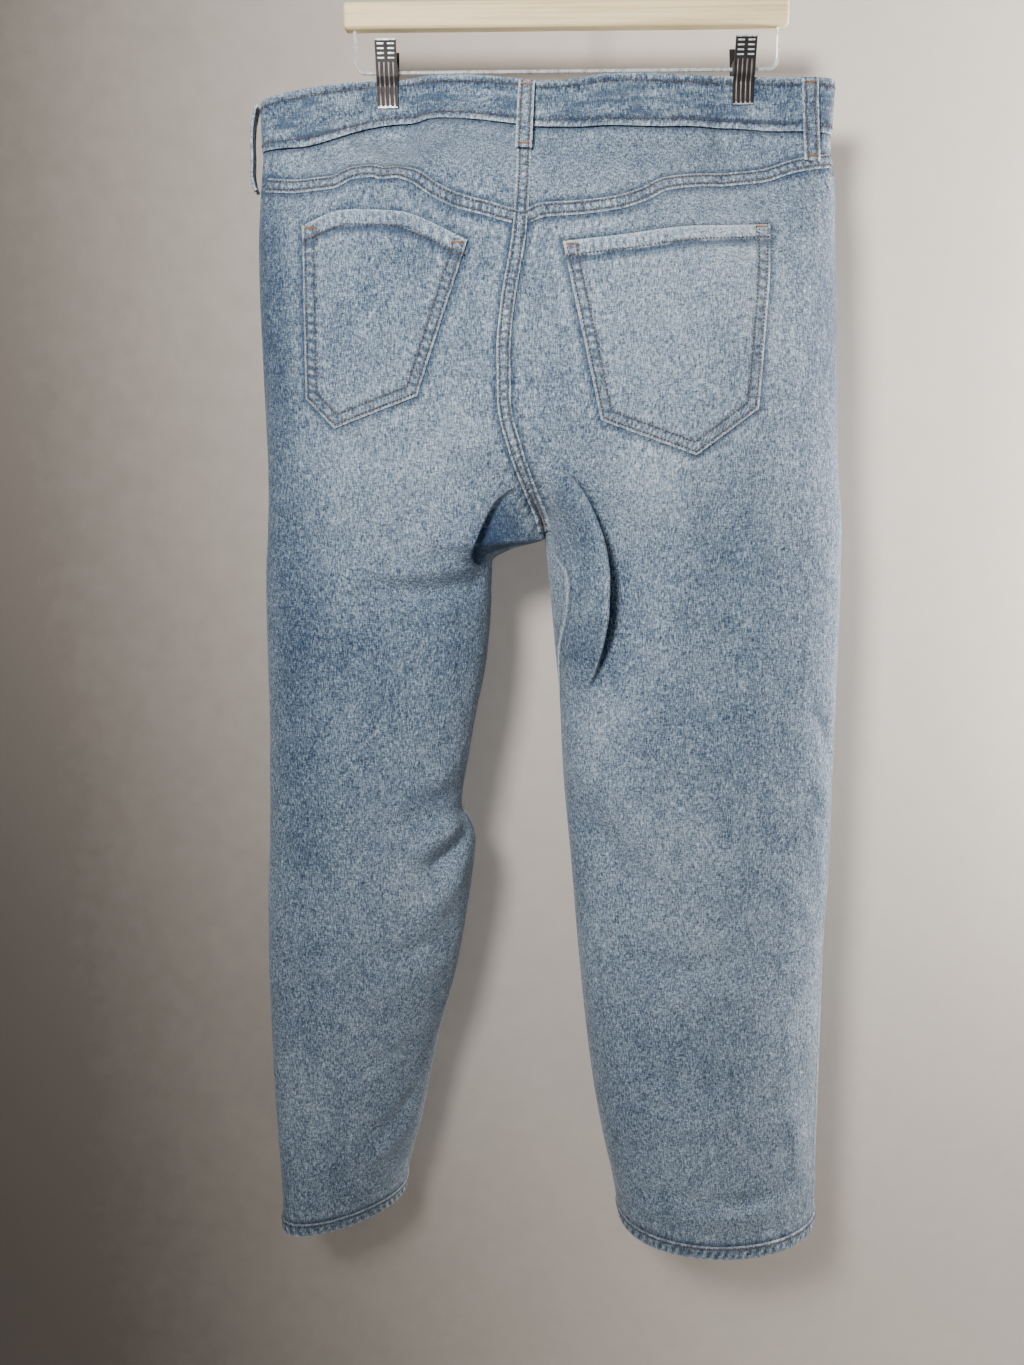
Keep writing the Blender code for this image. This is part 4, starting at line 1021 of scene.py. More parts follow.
@dataclass(frozen=True)
class Plaster:
    """The pale wall and floor. Their colour is painted light: darker at smaller x and paler towards
    larger x, as if lit from the right. On the floor the change is slight.
    """

    name: str
    colour: Colour
    far: Colour

    def build(self) -> bpy.types.Material:
        """Builds the material: its colour turns to the far one towards larger x, a fall of light
        painted into the colour.

        From behind it is see-through, so that views of the front aren't hidden.

        Returns:
            The material.
        """
        material, graph, shader, place = surface(self.name)
        grain = graph.noise(place, (60, 60, 60), 3.0)
        across = graph.node("ShaderNodeSeparateXYZ", {0: place}).outputs[0]
        # Painted light: the colour brightens towards larger x.
        value = graph.total(0.50, (across, 1.0), (grain, 0.1))
        behind = graph.node("ShaderNodeNewGeometry").outputs["Backfacing"]
        graph.fill(shader, {
            "Base Color": graph.ramp(value, [(0.0, self.colour), (1.0, self.far)]),
            "Normal": graph.bump(grain, 0.05, 0.001), "Roughness": 0.95,
            "Alpha": graph.math("SUBTRACT", 1.0, behind),
        })
        return material


def lattice(u: Array, v: Array, seed: float) -> Array:
    """Smooth noise from -1 to 1, one cell to a unit.

    Args:
        u: Places along.
        v: Places across.
        seed: Sets the numbers.

    Returns:
        The noise there.
    """
    u, v = together(u, v)
    i, j = np.floor(u), np.floor(v)
    fu, fv = ease(u - i), ease(v - j)

    def corner(a: Array, b: Array) -> Array:
        """A fixed number from -1 to 1 for a lattice corner."""
        spun = np.sin(a * 12.9898 + b * 78.233 + seed * 37.719) * 43758.5453
        return (spun - np.floor(spun)) * 2 - 1

    low = corner(i, j) * (1 - fu) + corner(i + 1, j) * fu
    high = corner(i, j + 1) * (1 - fu) + corner(i + 1, j + 1) * fu
    return low * (1 - fv) + high * fv


def roping(run: Array, across: Array, pitch: float = 5.6, seed: float = 1.0) -> Array:
    """The uneven pale and blue blocks of a worn double seam, from -1 to 1.

    Args:
        run: Places along the seam.
        across: Places across it.
        pitch: From one block to the next.
        seed: Sets where they fall.

    Returns:
        The roping there.
    """
    drift = 1.3 * np.sin(run / 9.7 + seed) + 0.9 * np.sin(run / 23.1 + 2.0 * seed)
    wave = np.sin(2 * np.pi * run / pitch + drift + 0.25 * across)
    return wave * (0.65 + 0.35 * lattice(run / 14.0, 0.0, seed)) + 0.4 * lattice(
        run / 3.0, across / 3.0, seed + 3)


def near(gap: Array, width: float) -> Array:
    """1 at a gap of 0, fading smoothly over a width."""
    return np.exp(-((gap / width) ** 2))


@dataclass(frozen=True)
class PaleAndShadePatch:
    """A soft patch where the denim is paler, or darker below 0. The darker patches are painted
    shade, mostly along the side outlines where the cloth turns from the light.
    """

    face: Face
    x: float
    z: float
    reach_x: float
    reach_z: float
    pale: float


# Patches below 0 are painted shade; the others make the denim paler.
PALE_AND_SHADE_PATCHES = (
    PaleAndShadePatch(B, -168, -420, 66, 46, 0.11), PaleAndShadePatch(B, 63, -455, 60, 40, 0.16),
    PaleAndShadePatch(B, 150, -300, 60, 70, 0.08), PaleAndShadePatch(B, 40, -330, 60, 60, 0.10),
    PaleAndShadePatch(B, -160, -300, 90, 120, -0.05), PaleAndShadePatch(B, 33, -652, 26, 22, 0.10),
    PaleAndShadePatch(B, -180, -790, 55, 70, 0.08), PaleAndShadePatch(B, 130, -800, 70, 90, 0.07),
    PaleAndShadePatch(B, -215, -1000, 40, 100, 0.08), PaleAndShadePatch(B, 140, -1040, 60, 90, 0.07),
    PaleAndShadePatch(B, -246, -330, 24, 150, -0.14), PaleAndShadePatch(B, -232, -600, 30, 200, -0.12),
    PaleAndShadePatch(B, 216, -620, 30, 200, -0.10), PaleAndShadePatch(B, -226, -900, 30, 200, -0.04),
    PaleAndShadePatch(B, 226, -330, 36, 116, -0.33), PaleAndShadePatch(B, 170, -190, 80, 40, -0.04),
    PaleAndShadePatch(B, 140, -640, 90, 120, -0.05), PaleAndShadePatch(B, -160, -600, 70, 110, -0.08),
    PaleAndShadePatch(B, -252, -310, 22, 140, -0.12), PaleAndShadePatch(B, -170, -400, 60, 50, -0.05),
    PaleAndShadePatch(B, -100, -560, 40, 60, -0.05),
    PaleAndShadePatch(F, -140, -460, 60, 120, 0.16), PaleAndShadePatch(F, 110, -460, 60, 120, 0.16),
    PaleAndShadePatch(F, -180, -760, 55, 90, 0.14), PaleAndShadePatch(F, 120, -760, 60, 90, 0.14),
)


class Tone:
    """The tones of one piece's points: paleness, indigo and pucker. Paleness and indigo also carry
    painted shade and highlights.
    """

    BASE = 0.50

    def __init__(self, points: Array) -> None:
        """Starts at the plain washed tone, with the soft paler patches and painted shade patches of
        both faces.

        Args:
            points: The piece's points.
        """
        self.x, self.z = points[..., 0], points[..., 2]
        shape = points.shape[:-1]
        self.pale = np.full(shape, self.BASE)
        self.indigo_and_shade, self.pucker = np.zeros(shape), np.zeros(shape)
        on_back = points[..., 1] < 6
        # Each patch makes the denim paler where above 0, and paints shade where below 0.
        for wash in PALE_AND_SHADE_PATCHES:
            spread = ((self.x - wash.x) / wash.reach_x) ** 2
            spread = spread + ((self.z - wash.z) / wash.reach_z) ** 2
            here = on_back if wash.face == B else ~on_back
            self.pale += wash.pale * np.exp(-spread) * here

    def beside(self, gap: Array, seed: float = 1.0, run: Array | None = None) -> None:
        """Halos beside a sewn edge: a painted shadow line at the edge, a deep blue band in its lee
        that is partly the indigo kept beside a seam and partly painted shade, then pale puckers.

        Args:
            gap: The distance from the edge.
            seed: Sets where the puckers fall.
            run: The place along the edge, where known.
        """
        run = self.x + 0.7 * self.z if run is None else run
        wobble = roping(run, gap, 6.5, seed)
        # A deep blue band beside the edge: partly the indigo kept beside a seam, partly painted
        # shade in its lee.
        self.indigo_and_shade += near(gap - 1.0, 3.0) * (0.62 + 0.30 * wobble)
        # A painted shadow line right at the edge.
        self.pale -= near(gap, 2.4) * 0.20
        self.pale += near(gap - 8, 4.5) * (0.06 + 0.10 * wobble)
        self.indigo_and_shade += near(gap - 9, 8.0) * np.clip(-wobble, 0, 1) * 0.26
        self.pucker = np.maximum(self.pucker, np.exp(-np.clip(gap, 0, None) / 14.0))

    def ridge(self, gap: Array, seed: float = 1.0) -> None:
        """A pressed seam: a pale worn line with a deep one beside it.

        Args:
            gap: The distance from the seam.
            seed: Sets where it is worn.
        """
        wobble = lattice(self.z / 7.0, gap / 4.0, seed)
        self.pale += near(gap - 1.0, 1.7) * (0.20 + 0.10 * wobble)
        self.pale -= near(gap - 4.6, 1.6) * 0.13
        self.indigo_and_shade += near(gap - 4.8, 1.8) * 0.22
        self.pucker = np.maximum(self.pucker, 0.8 * np.exp(-gap / 9.0))

    def layer(self) -> dict[str, Array]:
        """The colour attribute.

        Returns:
            The attribute's name and values.
        """
        parts = [np.clip(self.pale, 0, 1.2), np.clip(self.indigo_and_shade, 0, 1),
                 np.clip(self.pucker, 0, 1), np.ones_like(self.pale)]
        return {"Tone": np.stack(parts, -1)}


def arc_gaps(points: Array) -> tuple[Array, Array]:
    """How far each point is along its row from the row's first point, and from its last.

    Args:
        points: Rows by columns of points.

    Returns:
        Both distances, rows by columns.
    """
    step = np.linalg.norm(np.diff(points, axis=1), axis=-1)
    run = np.concatenate([np.zeros((len(points), 1)), np.cumsum(step, 1)], 1)
    return run, run[:, -1:] - run


def crowded(fine: Array, density: Array, count: int) -> Array:
    """Places along a line, closest together where it is densest.

    Args:
        fine: Even places along it.
        density: The density at each.
        count: How many places to give.

    Returns:
        The places.
    """
    run = np.concatenate([[0], np.cumsum((density[1:] + density[:-1]) / 2)])
    return np.interp(np.linspace(0, run[-1], count), run, fine)


def followed(path: Sequence[Sequence[float]], step: float, more: int = 1) -> tuple[Array, Array]:
    """Points evenly far along a path.

    Args:
        path: The path's x, z points.
        step: How far apart they may be.
        more: How many points there are past the number of steps.

    Returns:
        How far along each point is, and the points.
    """
    path = np.array(path, float)
    run = np.concatenate([[0], np.cumsum(np.hypot(*np.diff(path, axis=0).T))])
    at = np.linspace(0, run[-1], max(2, int(run[-1] / step) + more))
    return at, np.stack([np.interp(at, run, path[:, 0]), np.interp(at, run, path[:, 1])], -1)


def fitted_grid(place: Callable, high: Callable, low: Callable, columns: int,
                rows: int) -> tuple[Array, Array]:
    """A grid of turns and heights between two lines that are known by their x.

    Args:
        place: Gives the columns' turns and x at their heights.
        high: The upper line's height at any x.
        low: The lower line's height at any x.
        columns: How many columns there are.
        rows: How many rows there are.

    Returns:
        The turns and the heights, rows by columns.
    """
    turns, levels = [], []
    for down in np.linspace(0, 1, rows):
        level = np.full(columns, -200.0)
        for _ in range(3):
            turn, x = place(level)
            level = high(x) + (low(x) - high(x)) * down
        turns.append(turn)
        levels.append(level)
    return np.array(turns), np.array(levels)


def grid_area(points: Array) -> float:
    """The area of a grid of points, in square metres."""
    across, down = np.diff(points, axis=1)[:-1], np.diff(points, axis=0)[:, :-1]
    return float(np.linalg.norm(np.cross(across, down), axis=-1).sum()) * MM * MM


@dataclass
class Row:
    """One row of thread: its points, the way out of the cloth and how its stitches lie."""

    points: Array
    out: Array
    lie: Array


class Needle:
    """Lays rows of thread as real stitches with one geometry node tree."""

    def __init__(self) -> None:
        """Builds the tree once."""
        tree = bpy.data.node_groups.new("stitching", "GeometryNodeTree")
        sockets = tree.interface.new_socket
        sockets("Geometry", in_out="INPUT", socket_type="NodeSocketGeometry")
        self.inputs = {}
        for name, kind in (("Pitch", "NodeSocketFloat"), ("Length", "NodeSocketFloat"),
                           ("Radius", "NodeSocketFloat"), ("Seed", "NodeSocketInt"),
                           ("Thread", "NodeSocketMaterial")):
            self.inputs[name] = sockets(name, in_out="INPUT", socket_type=kind).identifier
        sockets("Geometry", in_out="OUTPUT", socket_type="NodeSocketGeometry")
        graph = Graph(tree)
        given = graph.node("NodeGroupInput").outputs
        curve = graph.node("GeometryNodeMeshToCurve", {0: given["Geometry"]}).outputs[0]
        spaced = graph.node("GeometryNodeResampleCurve", {"Curve": curve,
                            "Length": given["Pitch"]}, mode="LENGTH").outputs[0]
        bead = graph.node("GeometryNodeMeshUVSphere",
                          {"Segments": 6, "Rings": 4, "Radius": 1.0}).outputs["Mesh"]
        lie = graph.node("GeometryNodeInputNamedAttribute", {"Name": "lie"},
                         data_type="FLOAT_VECTOR").outputs["Attribute"]
        out = graph.node("GeometryNodeInputNamedAttribute", {"Name": "out"},
                         data_type="FLOAT_VECTOR").outputs["Attribute"]
        turn = graph.node("FunctionNodeAxesToRotation", {0: lie, 1: out},
                          primary_axis="X", secondary_axis="Z").outputs[0]
        vary = graph.node("FunctionNodeRandomValue", {2: 0.82, 3: 1.12, 8: given["Seed"]},
                          data_type="FLOAT").outputs[1]
        half = graph.math("MULTIPLY", given["Length"], 0.5)
        size = graph.node("ShaderNodeCombineXYZ", {
            0: graph.math("MULTIPLY", half, vary), 1: given["Radius"],
            2: graph.math("MULTIPLY", given["Radius"], 0.8)}).outputs[0]
        laid = graph.node("GeometryNodeInstanceOnPoints", {
            "Points": spaced, "Instance": bead, "Rotation": turn, "Scale": size}).outputs[0]
        real = graph.node("GeometryNodeRealizeInstances", {0: laid}).outputs[0]
        done = graph.node("GeometryNodeSetMaterial", {0: real, "Material": given["Thread"]})
        graph.node("NodeGroupOutput", {0: done.outputs[0]})
        self.tree = tree

    def sew(self, name: str, rows: Sequence[Row], thread: bpy.types.Material,
            pitch: float = 3.0, length: float = 2.3, radius: float = 0.80,
            seed: int = 1) -> bpy.types.Object:
        """Sews rows of thread.

        Args:
            name: The piece's name.
            rows: The rows, in millimetres.
            thread: The thread's material.
            pitch: From one stitch to the next.
            length: The length of a stitch.
            radius: Its thickness, halved.
            seed: Fixes how the stitches vary.

        Returns:
            The piece, as a plain mesh.
        """
        points, edges, lies, outs = [], [], [], []
        for row in rows:
            start = len(points)
            points += (row.points * MM).tolist()
            edges += [(start + i, start + i + 1) for i in range(len(row.points) - 1)]
            lies.append(row.lie)
            outs.append(row.out)
        mesh = bpy.data.meshes.new(name)
        mesh.from_pydata(points, edges, [])
        for key, values in (("lie", lies), ("out", outs)):
            layer = mesh.attributes.new(key, "FLOAT_VECTOR", "POINT")
            layer.data.foreach_set("vector", np.concatenate(values).astype(np.float32).ravel())
        piece = linked(name, mesh)
        modifier = piece.modifiers.new("stitching", "NODES")
        modifier.node_group = self.tree
        values = {"Pitch": pitch * MM, "Length": length * MM, "Radius": radius * MM,
                  "Seed": seed, "Thread": thread}
        for key, value in values.items():
            modifier[self.inputs[key]] = value
        piece.data.update()
        bpy.context.view_layer.update()
        seen = piece.evaluated_get(bpy.context.evaluated_depsgraph_get())
        plain = bpy.data.meshes.new_from_object(seen)
        piece.modifiers.remove(modifier)
        piece.data = plain
        plain.name = name
        plain.shade_smooth()
        return piece


def row_on(points: Array, out: Array, across: bool = False) -> Row:
    """A row of thread along points.

    Args:
        points: The row's points.
        out: The way out of the cloth at each.
        across: Whether its stitches lie across the row, as in a bar.

    Returns:
        The row.
    """
    run = np.gradient(points, axis=0)
    run /= np.maximum(np.linalg.norm(run, axis=1, keepdims=True), 1e-9)
    out = out / np.linalg.norm(out, axis=1, keepdims=True)
    lie = np.cross(out, run) if across else run
    return Row(points, out, lie)


def thread_row(face: Face, path: Sequence[Sequence[float]], lift: float, step: float = 1.5,
               across: bool = False) -> Row:
    """A row of thread over the trunk.

    Args:
        face: The face of the jeans.
        path: The row's x, z points.
        lift: How far it lies above the panel.
        step: How closely the path is followed.
        across: Whether its stitches lie across the row.

    Returns:
        The row.
    """
    x, z = followed(path, step)[1].T
    low, high = placed(face, x, z, lift), placed(face, x, z, lift + 1.0)
    return row_on(low, high - low, across)


def inset(path: Sequence[Sequence[float]], gap: float) -> list[tuple[float, float]]:
    """A chain of x, z points moved to its right by a gap, with mitred corners.

    Args:
        path: The chain.
        gap: How far it moves.

    Returns:
        The moved chain.
    """
    points = np.array(path, float)
    run = np.diff(points, axis=0)
    run /= np.linalg.norm(run, axis=1, keepdims=True)
    side = np.stack([run[:, 1], -run[:, 0]], -1)
    moved = [points[0] + side[0] * gap]
    for i in range(1, len(points) - 1):
        middle = side[i - 1] + side[i]
        middle /= np.linalg.norm(middle)
        moved.append(points[i] + middle * gap / max(0.3, float(np.dot(middle, side[i]))))
    moved.append(points[-1] + side[-1] * gap)
    return [tuple(p) for p in moved]


@dataclass
class Finishes:
    """Every material that the pieces share."""

    denim: bpy.types.Material
    thread: bpy.types.Material
    bar: bpy.types.Material
    wood: bpy.types.Material
    bright: bpy.types.Material
    dark: bpy.types.Material
    rib: bpy.types.Material
    copper: bpy.types.Material
    tape: bpy.types.Material
    worn: bpy.types.Material

    @classmethod
    def build(cls) -> Finishes:
        """Builds them all.

        Returns:
            The finishes.
        """
        return cls(
            denim=Denim().build(),
            # Dark brown thread, darkened further as painted shade for its stitch holes.
            thread=Thread("brown_grey_thread", (0.03, 0.02, 0.015), (0.15, 0.10, 0.07)).build(),
            bar=Thread("tan_thread", (0.16, 0.065, 0.022), (0.42, 0.19, 0.06)).build(),
            wood=Wood().build(),
            bright=Metal("bright_wire", (0.90, 0.90, 0.91), (0.55, 0.55, 0.57), 0.3, 0.45).build(),
            dark=Metal("clip_metal", (0.024, 0.021, 0.021), (0.008, 0.007, 0.007),
                       0.55, 0.5).build(),
            rib=Metal("clip_ribs", (0.19, 0.16, 0.16), (0.08, 0.068, 0.068), 0.5, 0.7).build(),
            copper=Metal("button_metal", (0.55, 0.33, 0.20), (0.20, 0.12, 0.08), 0.35).build(),
            worn=Thread("worn_edge", (0.26, 0.33, 0.42), (0.66, 0.70, 0.73)).build(),
            tape=Thread("zip_tape", (0.10, 0.12, 0.17), (0.20, 0.23, 0.30)).build(),
        )


# A sheet's least side in metres, and the least share of its flat size that it covers.
LEAST_SIDE, LEAST_SHARE = 0.011, 0.305


@dataclass(frozen=True)
class Cut:
    """How a piece was cut and how it is held."""

    held: str
    rests_on: tuple[str, ...]


class Jeans:
    """All the cloth, dressed piece by piece."""

    def __init__(self, finishes: Finishes, needle: Needle) -> None:
        """Keeps the finishes and the needle."""
        self.finishes = finishes
        self.needle = needle

    def cloth(self, name: str, outer: Array, tone: Tone, wall: Array | float, towards: Array,
              cut: Cut, closed: bool = False) -> None:
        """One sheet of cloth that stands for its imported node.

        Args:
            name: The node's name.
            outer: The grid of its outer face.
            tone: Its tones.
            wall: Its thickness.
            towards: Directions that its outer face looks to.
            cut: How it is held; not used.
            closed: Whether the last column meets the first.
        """
        piece = shell(f"{name}_cloth", outer, wall, towards, tone.layer(), closed)
        piece.data.materials.append(self.finishes.denim)
        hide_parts(name)
        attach(piece, "root")
        across = np.linalg.norm(np.diff(outer, axis=1), axis=-1).sum(1).max() * MM
        down = np.median(np.linalg.norm(np.diff(outer, axis=0), axis=-1).sum(0)) * MM
        area = grid_area(outer)
        down = max(down, area / across)
        area = max(area, LEAST_SHARE * across * down)
        LOG.info("%s: %.3f x %.3f m, %d faces", name, across, down, len(piece.data.polygons))

    def thread(self, name: str, rows: Sequence[Row], bar: bool = False, **how: float) -> None:
        """One piece of stitching that rides with the cloth.

        Args:
            name: The piece's name.
            rows: Its rows of thread.
            bar: Whether it is a bar's tan thread.
            how: The needle's pitch, length, radius and seed.
        """
        material = self.finishes.bar if bar else self.finishes.thread
        piece = self.needle.sew(name, rows, material, **how)
        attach(piece, "root")
        LOG.info("%s: %d faces", name, len(piece.data.polygons))


OUT = {Face.BACK: np.array([0.0, -1.0, 0.0]), Face.FRONT: np.array([0.0, 1.0, 0.0])}
# The heights between which each leg's inseam is seen from the back.
INSEAM_SHOWS = {L: (-526.0, -1120.0), R: (-526.0, -640.0)}


@dataclass
class Panel:
    """The back or the front of one leg, from its top seam to the hem."""

    leg: LegSurface
    face: Face
    rows: int = 290
    columns: int = 118
    top: float = -232.0
    fade: float = 66.0
    lap_near: float = 70.0
    lap_level: float = -530.0
    knee_level: float = -770.0
    inner_margin: float = 0.006
    outer_margin: float = 0.001

    @property
    def name(self) -> str:
        """The node's name."""
        return f"{self.face.name.lower()}_{self.leg.name}"

    @property
    def foot(self) -> float:
        """Where the panel ends, above the hem's band."""
        return CLOTH.hem_level + CLOTH.hem_height + CLOTH.seam_gap

    def top_line(self, x: Array) -> Array:
        """The height of the panel's top edge.

        Args:
            x: Any x on the panel.

        Returns:
            The edge's height there.
        """
        if self.face == Face.BACK:
            return YOKE_SEAM.at("z", x) - CLOTH.seam_gap
        return mouth_line(self.leg, x)

    def heights(self) -> Array:
        """The heights of the rows, closest at the lap and at the knee's fold."""
        fine = np.linspace(self.top, self.foot, 1200)
        density = 1.0 + 1.1 * near(fine - self.lap_level, 100)
        density = density + 0.5 * near(fine - self.knee_level, 60)
        return crowded(fine, density, self.rows)

    def shares(self) -> Array:
        """Shares of a row's two runs: 0 to 1 up to the lap's line, then 1 to 2 past it."""
        if self.face == Face.FRONT:
            margin = CLOTH.edge_margin
            return 1.0 + margin + (1 - 2 * margin) * self.spaced(self.columns, 0.035, 2.6)
        first = self.columns * 3 // 10
        to_line = self.spaced(first + 1, 0.12, 0.6)[:-1]
        past = self.spaced(self.columns - first, 0.045, 5.0)
        return np.concatenate([self.inner_margin + (1 - self.inner_margin) * to_line,
                               1.0 + (1 - self.outer_margin) * past])

    def spaced(self, count: int, width: float, gather: float) -> Array:
        """Shares from 0 to 1, gathered at both ends.

        Args:
            count: How many to give.
            width: How far the first gathering goes.
            gather: How strong it is.

        Returns:
            The shares.
        """
        fine = np.linspace(0, 1, 700)
        density = 1.0 + gather * near(fine, width) + 2.6 * near(1 - fine, 0.035)
        return crowded(fine, density, count)

    def line_x(self, heights: Array) -> Array:
        """The x of the line that the columns follow: the lap's edge, and on above and below.

        Args:
            heights: The rows' heights.

        Returns:
            The line's x at each.
        """
        lap, sign = self.leg.lap, self.leg.side.value
        inner = self.leg.column("back_inner", heights)
        out = self.leg.column("out", heights)
        beyond = np.maximum(heights - lap.zs[0], lap.zs[-1] - heights)
        strength = 1 - ease(beyond / self.lap_near)
        plain = inner + 0.2 * (out - inner)
        line = lap.edge_at(heights) * strength + plain * (1 - strength)
        return inner + sign * np.maximum(sign * (line - inner), 9.0)

    def ends(self, level: Array) -> tuple[Array, Array]:
        """The turns that the panel starts and ends at."""
        back, side, front = self.leg.seams(level)
        return (back, side) if self.face == Face.BACK else (side, front)

    def grid(self) -> tuple[Array, Array]:
        """The turns and heights of the panel's grid, its columns spaced along the cloth.

        Returns:
            The turns and the heights, rows by columns.
        """
        leg, heights = self.leg, self.heights()
        spread = np.linspace(0, 1, 300)
        level = np.broadcast_to(heights[:, None], (self.rows, len(spread)))
        fall = np.clip(1 - (self.top - heights) / self.fade, 0, 1)[:, None]
        for _ in range(3):
            start, end = self.ends(level)
            turn = start + spread * (end - start)
            points = leg.smooth_point(turn, level)
            level = heights[:, None] + (self.top_line(points[..., 0]) - self.top) * fall
        run = arc_gaps(points)[0]
        share, sign = self.shares(), leg.side.value
        line = self.line_x(heights)
        turns, levels = [], []
        for i in range(self.rows):
            middle = 0.0
            if self.face == Face.BACK:
                x = np.maximum.accumulate(sign * points[i, :, 0])
                middle = float(np.interp(sign * line[i], x + 1e-6 * np.arange(len(x)), run[i]))
            at = np.interp(share, [0, 1, 2], [0, middle, run[i, -1]])
            place = np.interp(at, run[i], spread)
            turns.append(np.interp(place, spread, turn[i]))
            levels.append(np.interp(place, spread, level[i]))
        return np.array(turns), np.array(levels)

    def tone(self, points: Array) -> Tone:
        """The panel's tones: halos of its seams, pockets and hem, with their painted shade, and the
        lap's painted light.

        Args:
            points: The panel's points.

        Returns:
            The tones.
        """
        tone = Tone(points)
        first, last = arc_gaps(points)
        inner, outer = (first, last) if self.face == Face.BACK else (last, first)
        tone.ridge(outer, 2.0)
        low = ease((CLOTH.crotch - 6 - tone.z) / 20)
        keep = tone.pale.copy(), tone.indigo_and_shade.copy()
        tone.ridge(inner, 5.0)
        tone.pale = keep[0] + (tone.pale - keep[0]) * low
        tone.indigo_and_shade = keep[1] + (tone.indigo_and_shade - keep[1]) * low
        tone.beside(np.abs(tone.z - self.foot), 4.0, tone.x)
        if self.face == Face.BACK:
            below = YOKE_SEAM.at("z", tone.x) - CLOTH.seam_half - tone.z
            tone.beside(np.abs(below), 3.0, tone.x)
            seat = np.abs(tone.x - centre_seam(Face.BACK, tone.z))
            seat = np.where(tone.z > CLOTH.crotch + 20, np.abs(seat - CLOTH.seam_half), 90.0)
            tone.beside(seat, 6.0, tone.z)
            outline = POCKETS[self.leg.side].outline()
            gap, _side, _place = path_distance(tone.x, tone.z, outline)
            tone.beside(gap, 7.0)
            self.lap_painted_light(tone)
        return tone

    def lap_painted_light(self, tone: Tone) -> None:
        """The lap's painted light: a painted highlight on the crest, painted shadow in its lee and
        painted shade over the right flap.

        Args:
            tone: The panel's tones, which it changes.
        """
        lap = self.leg.lap
        gap, side, place = path_distance(tone.x, tone.z, lap.path)
        q = gap * side
        strong = np.interp(place, lap.share, lap.heights) / lap.heights.max()
        past, short = np.clip(q, 0, None), np.clip(-q, 0, None)
        # A painted highlight on the crest's lit side.
        tone.pale += near(q + 2.5, 2.2) * 0.05 * strong
        # A painted shadow just past the edge.
        tone.pale -= ease(q / 3.0) * near(past, 4.0) * strong * 0.20
        if self.leg.side == L:
            # Left tuck: deep blue painted shade over the recessed triangle past the edge, and a
            # little before the edge.
            lee_shade = ease(q / 3.0) * near(past, 34.0) * ease(strong / 0.6)
            tone.indigo_and_shade += lee_shade * 0.55
            tone.pale -= lee_shade * 0.22
            tone.pale -= near(short, 7.0) * ease((-470 - tone.z) / 30) * strong * 0.14
        else:
            # Right flap: a painted shadow falling past the crest, and painted shade over the flap
            # before it.
            low = ease((-480 - tone.z) / 70) * ease(strong / 0.5)
            tone.pale -= ease((q + 1.0) / 2.5) * near(past, 4.0 + 3.0 * low) * strong * 0.22
            tone.pale -= ease(q / 3.0) * near(past, 20.0) * low * 0.16
            tone.pale -= ease(-q / 5.0) * near(short, 34.0) * ease(strong / 0.5) * 0.13

    def dress(self, jeans: Jeans) -> None:
        """Builds the panel.

        Args:
            jeans: The cloth so far.
        """
        turn, z = self.grid()
        points = self.leg.point(turn, z)
        above = (f"yoke_{self.leg.name}",) if self.face == Face.BACK else ("waistband",)
        jeans.cloth(self.name, points, self.tone(points), CLOTH.wall, OUT[self.face],
                    Cut("hung", above))
        if self.face == Face.BACK:
            high, low = INSEAM_SHOWS[self.leg.side]
            edge = points[(z[:, 0] < high) & (z[:, 0] > low), 0]
            out = np.broadcast_to(OUT[self.face], edge.shape)
            seam = jeans.needle.sew(f"{self.name}_inseam_edge", [row_on(edge + out * 0.4, out)],
                                    jeans.finishes.worn, 3.0, 3.4, 0.6, 5)
            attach(seam, "root")


MOUTH_WIDTH, MOUTH_DEPTH = 100.0, 86.0


def mouth_line(leg: LegSurface, x: Array) -> Array:
    """The front panel's top edge: the waistband's lower edge, scooped away at the side.

    Args:
        leg: The leg.
        x: Any x on it.

    Returns:
        The edge's height there.
    """
    bottom = band_bottom(x, Face.FRONT)
    inward = np.clip(1.0 - np.abs(leg.column("out", bottom) - x) / MOUTH_WIDTH, 0, 1)
    scoop = MOUTH_DEPTH * np.sqrt(np.clip(1.0 - (1.0 - inward) ** 2, 0, 1))
    return bottom - 1.0 - scoop


@dataclass
class Yoke:
    """The shaped piece between the waistband and a back panel."""

    leg: LegSurface
    rows: int = 30
    columns: int = 110

    def place(self, level: Array) -> tuple[Array, Array]:
        """The columns' turns and x at their heights.

        Args:
            level: The columns' heights.

        Returns:
            The turns and the x.
        """
        back, side, _front = self.leg.seams(level)
        share = CLOTH.edge_margin + np.linspace(0, 1, self.columns) * (1 - 2 * CLOTH.edge_margin)
        turn = back + share * (side - back)
        return turn, self.leg.smooth_point(turn, level)[..., 0]

    def dress(self, jeans: Jeans) -> None:
        """Builds the yoke.

        Args:
            jeans: The cloth so far.
        """
        turn, z = fitted_grid(self.place, lambda x: band_bottom(x, Face.BACK) - 1.0,
                              lambda x: YOKE_SEAM.at("z", x) + CLOTH.seam_gap,
                              self.columns, self.rows)
        points = self.leg.point(turn, z)
        tone = Tone(points)
        tone.beside(np.abs(band_bottom(tone.x, Face.BACK) - tone.z), 2.0, tone.x)
        above = tone.z - YOKE_SEAM.at("z", tone.x) - CLOTH.seam_half
        tone.beside(np.abs(above), 3.0, tone.x)
        under_loop = near(tone.x + 30, 55) * near(tone.z + 185, 22)
        tone.indigo_and_shade += 0.35 * under_loop
        jeans.cloth(f"yoke_{self.leg.name}", points, tone, CLOTH.wall, OUT[Face.BACK],
                    Cut("hung", ("waistband",)))


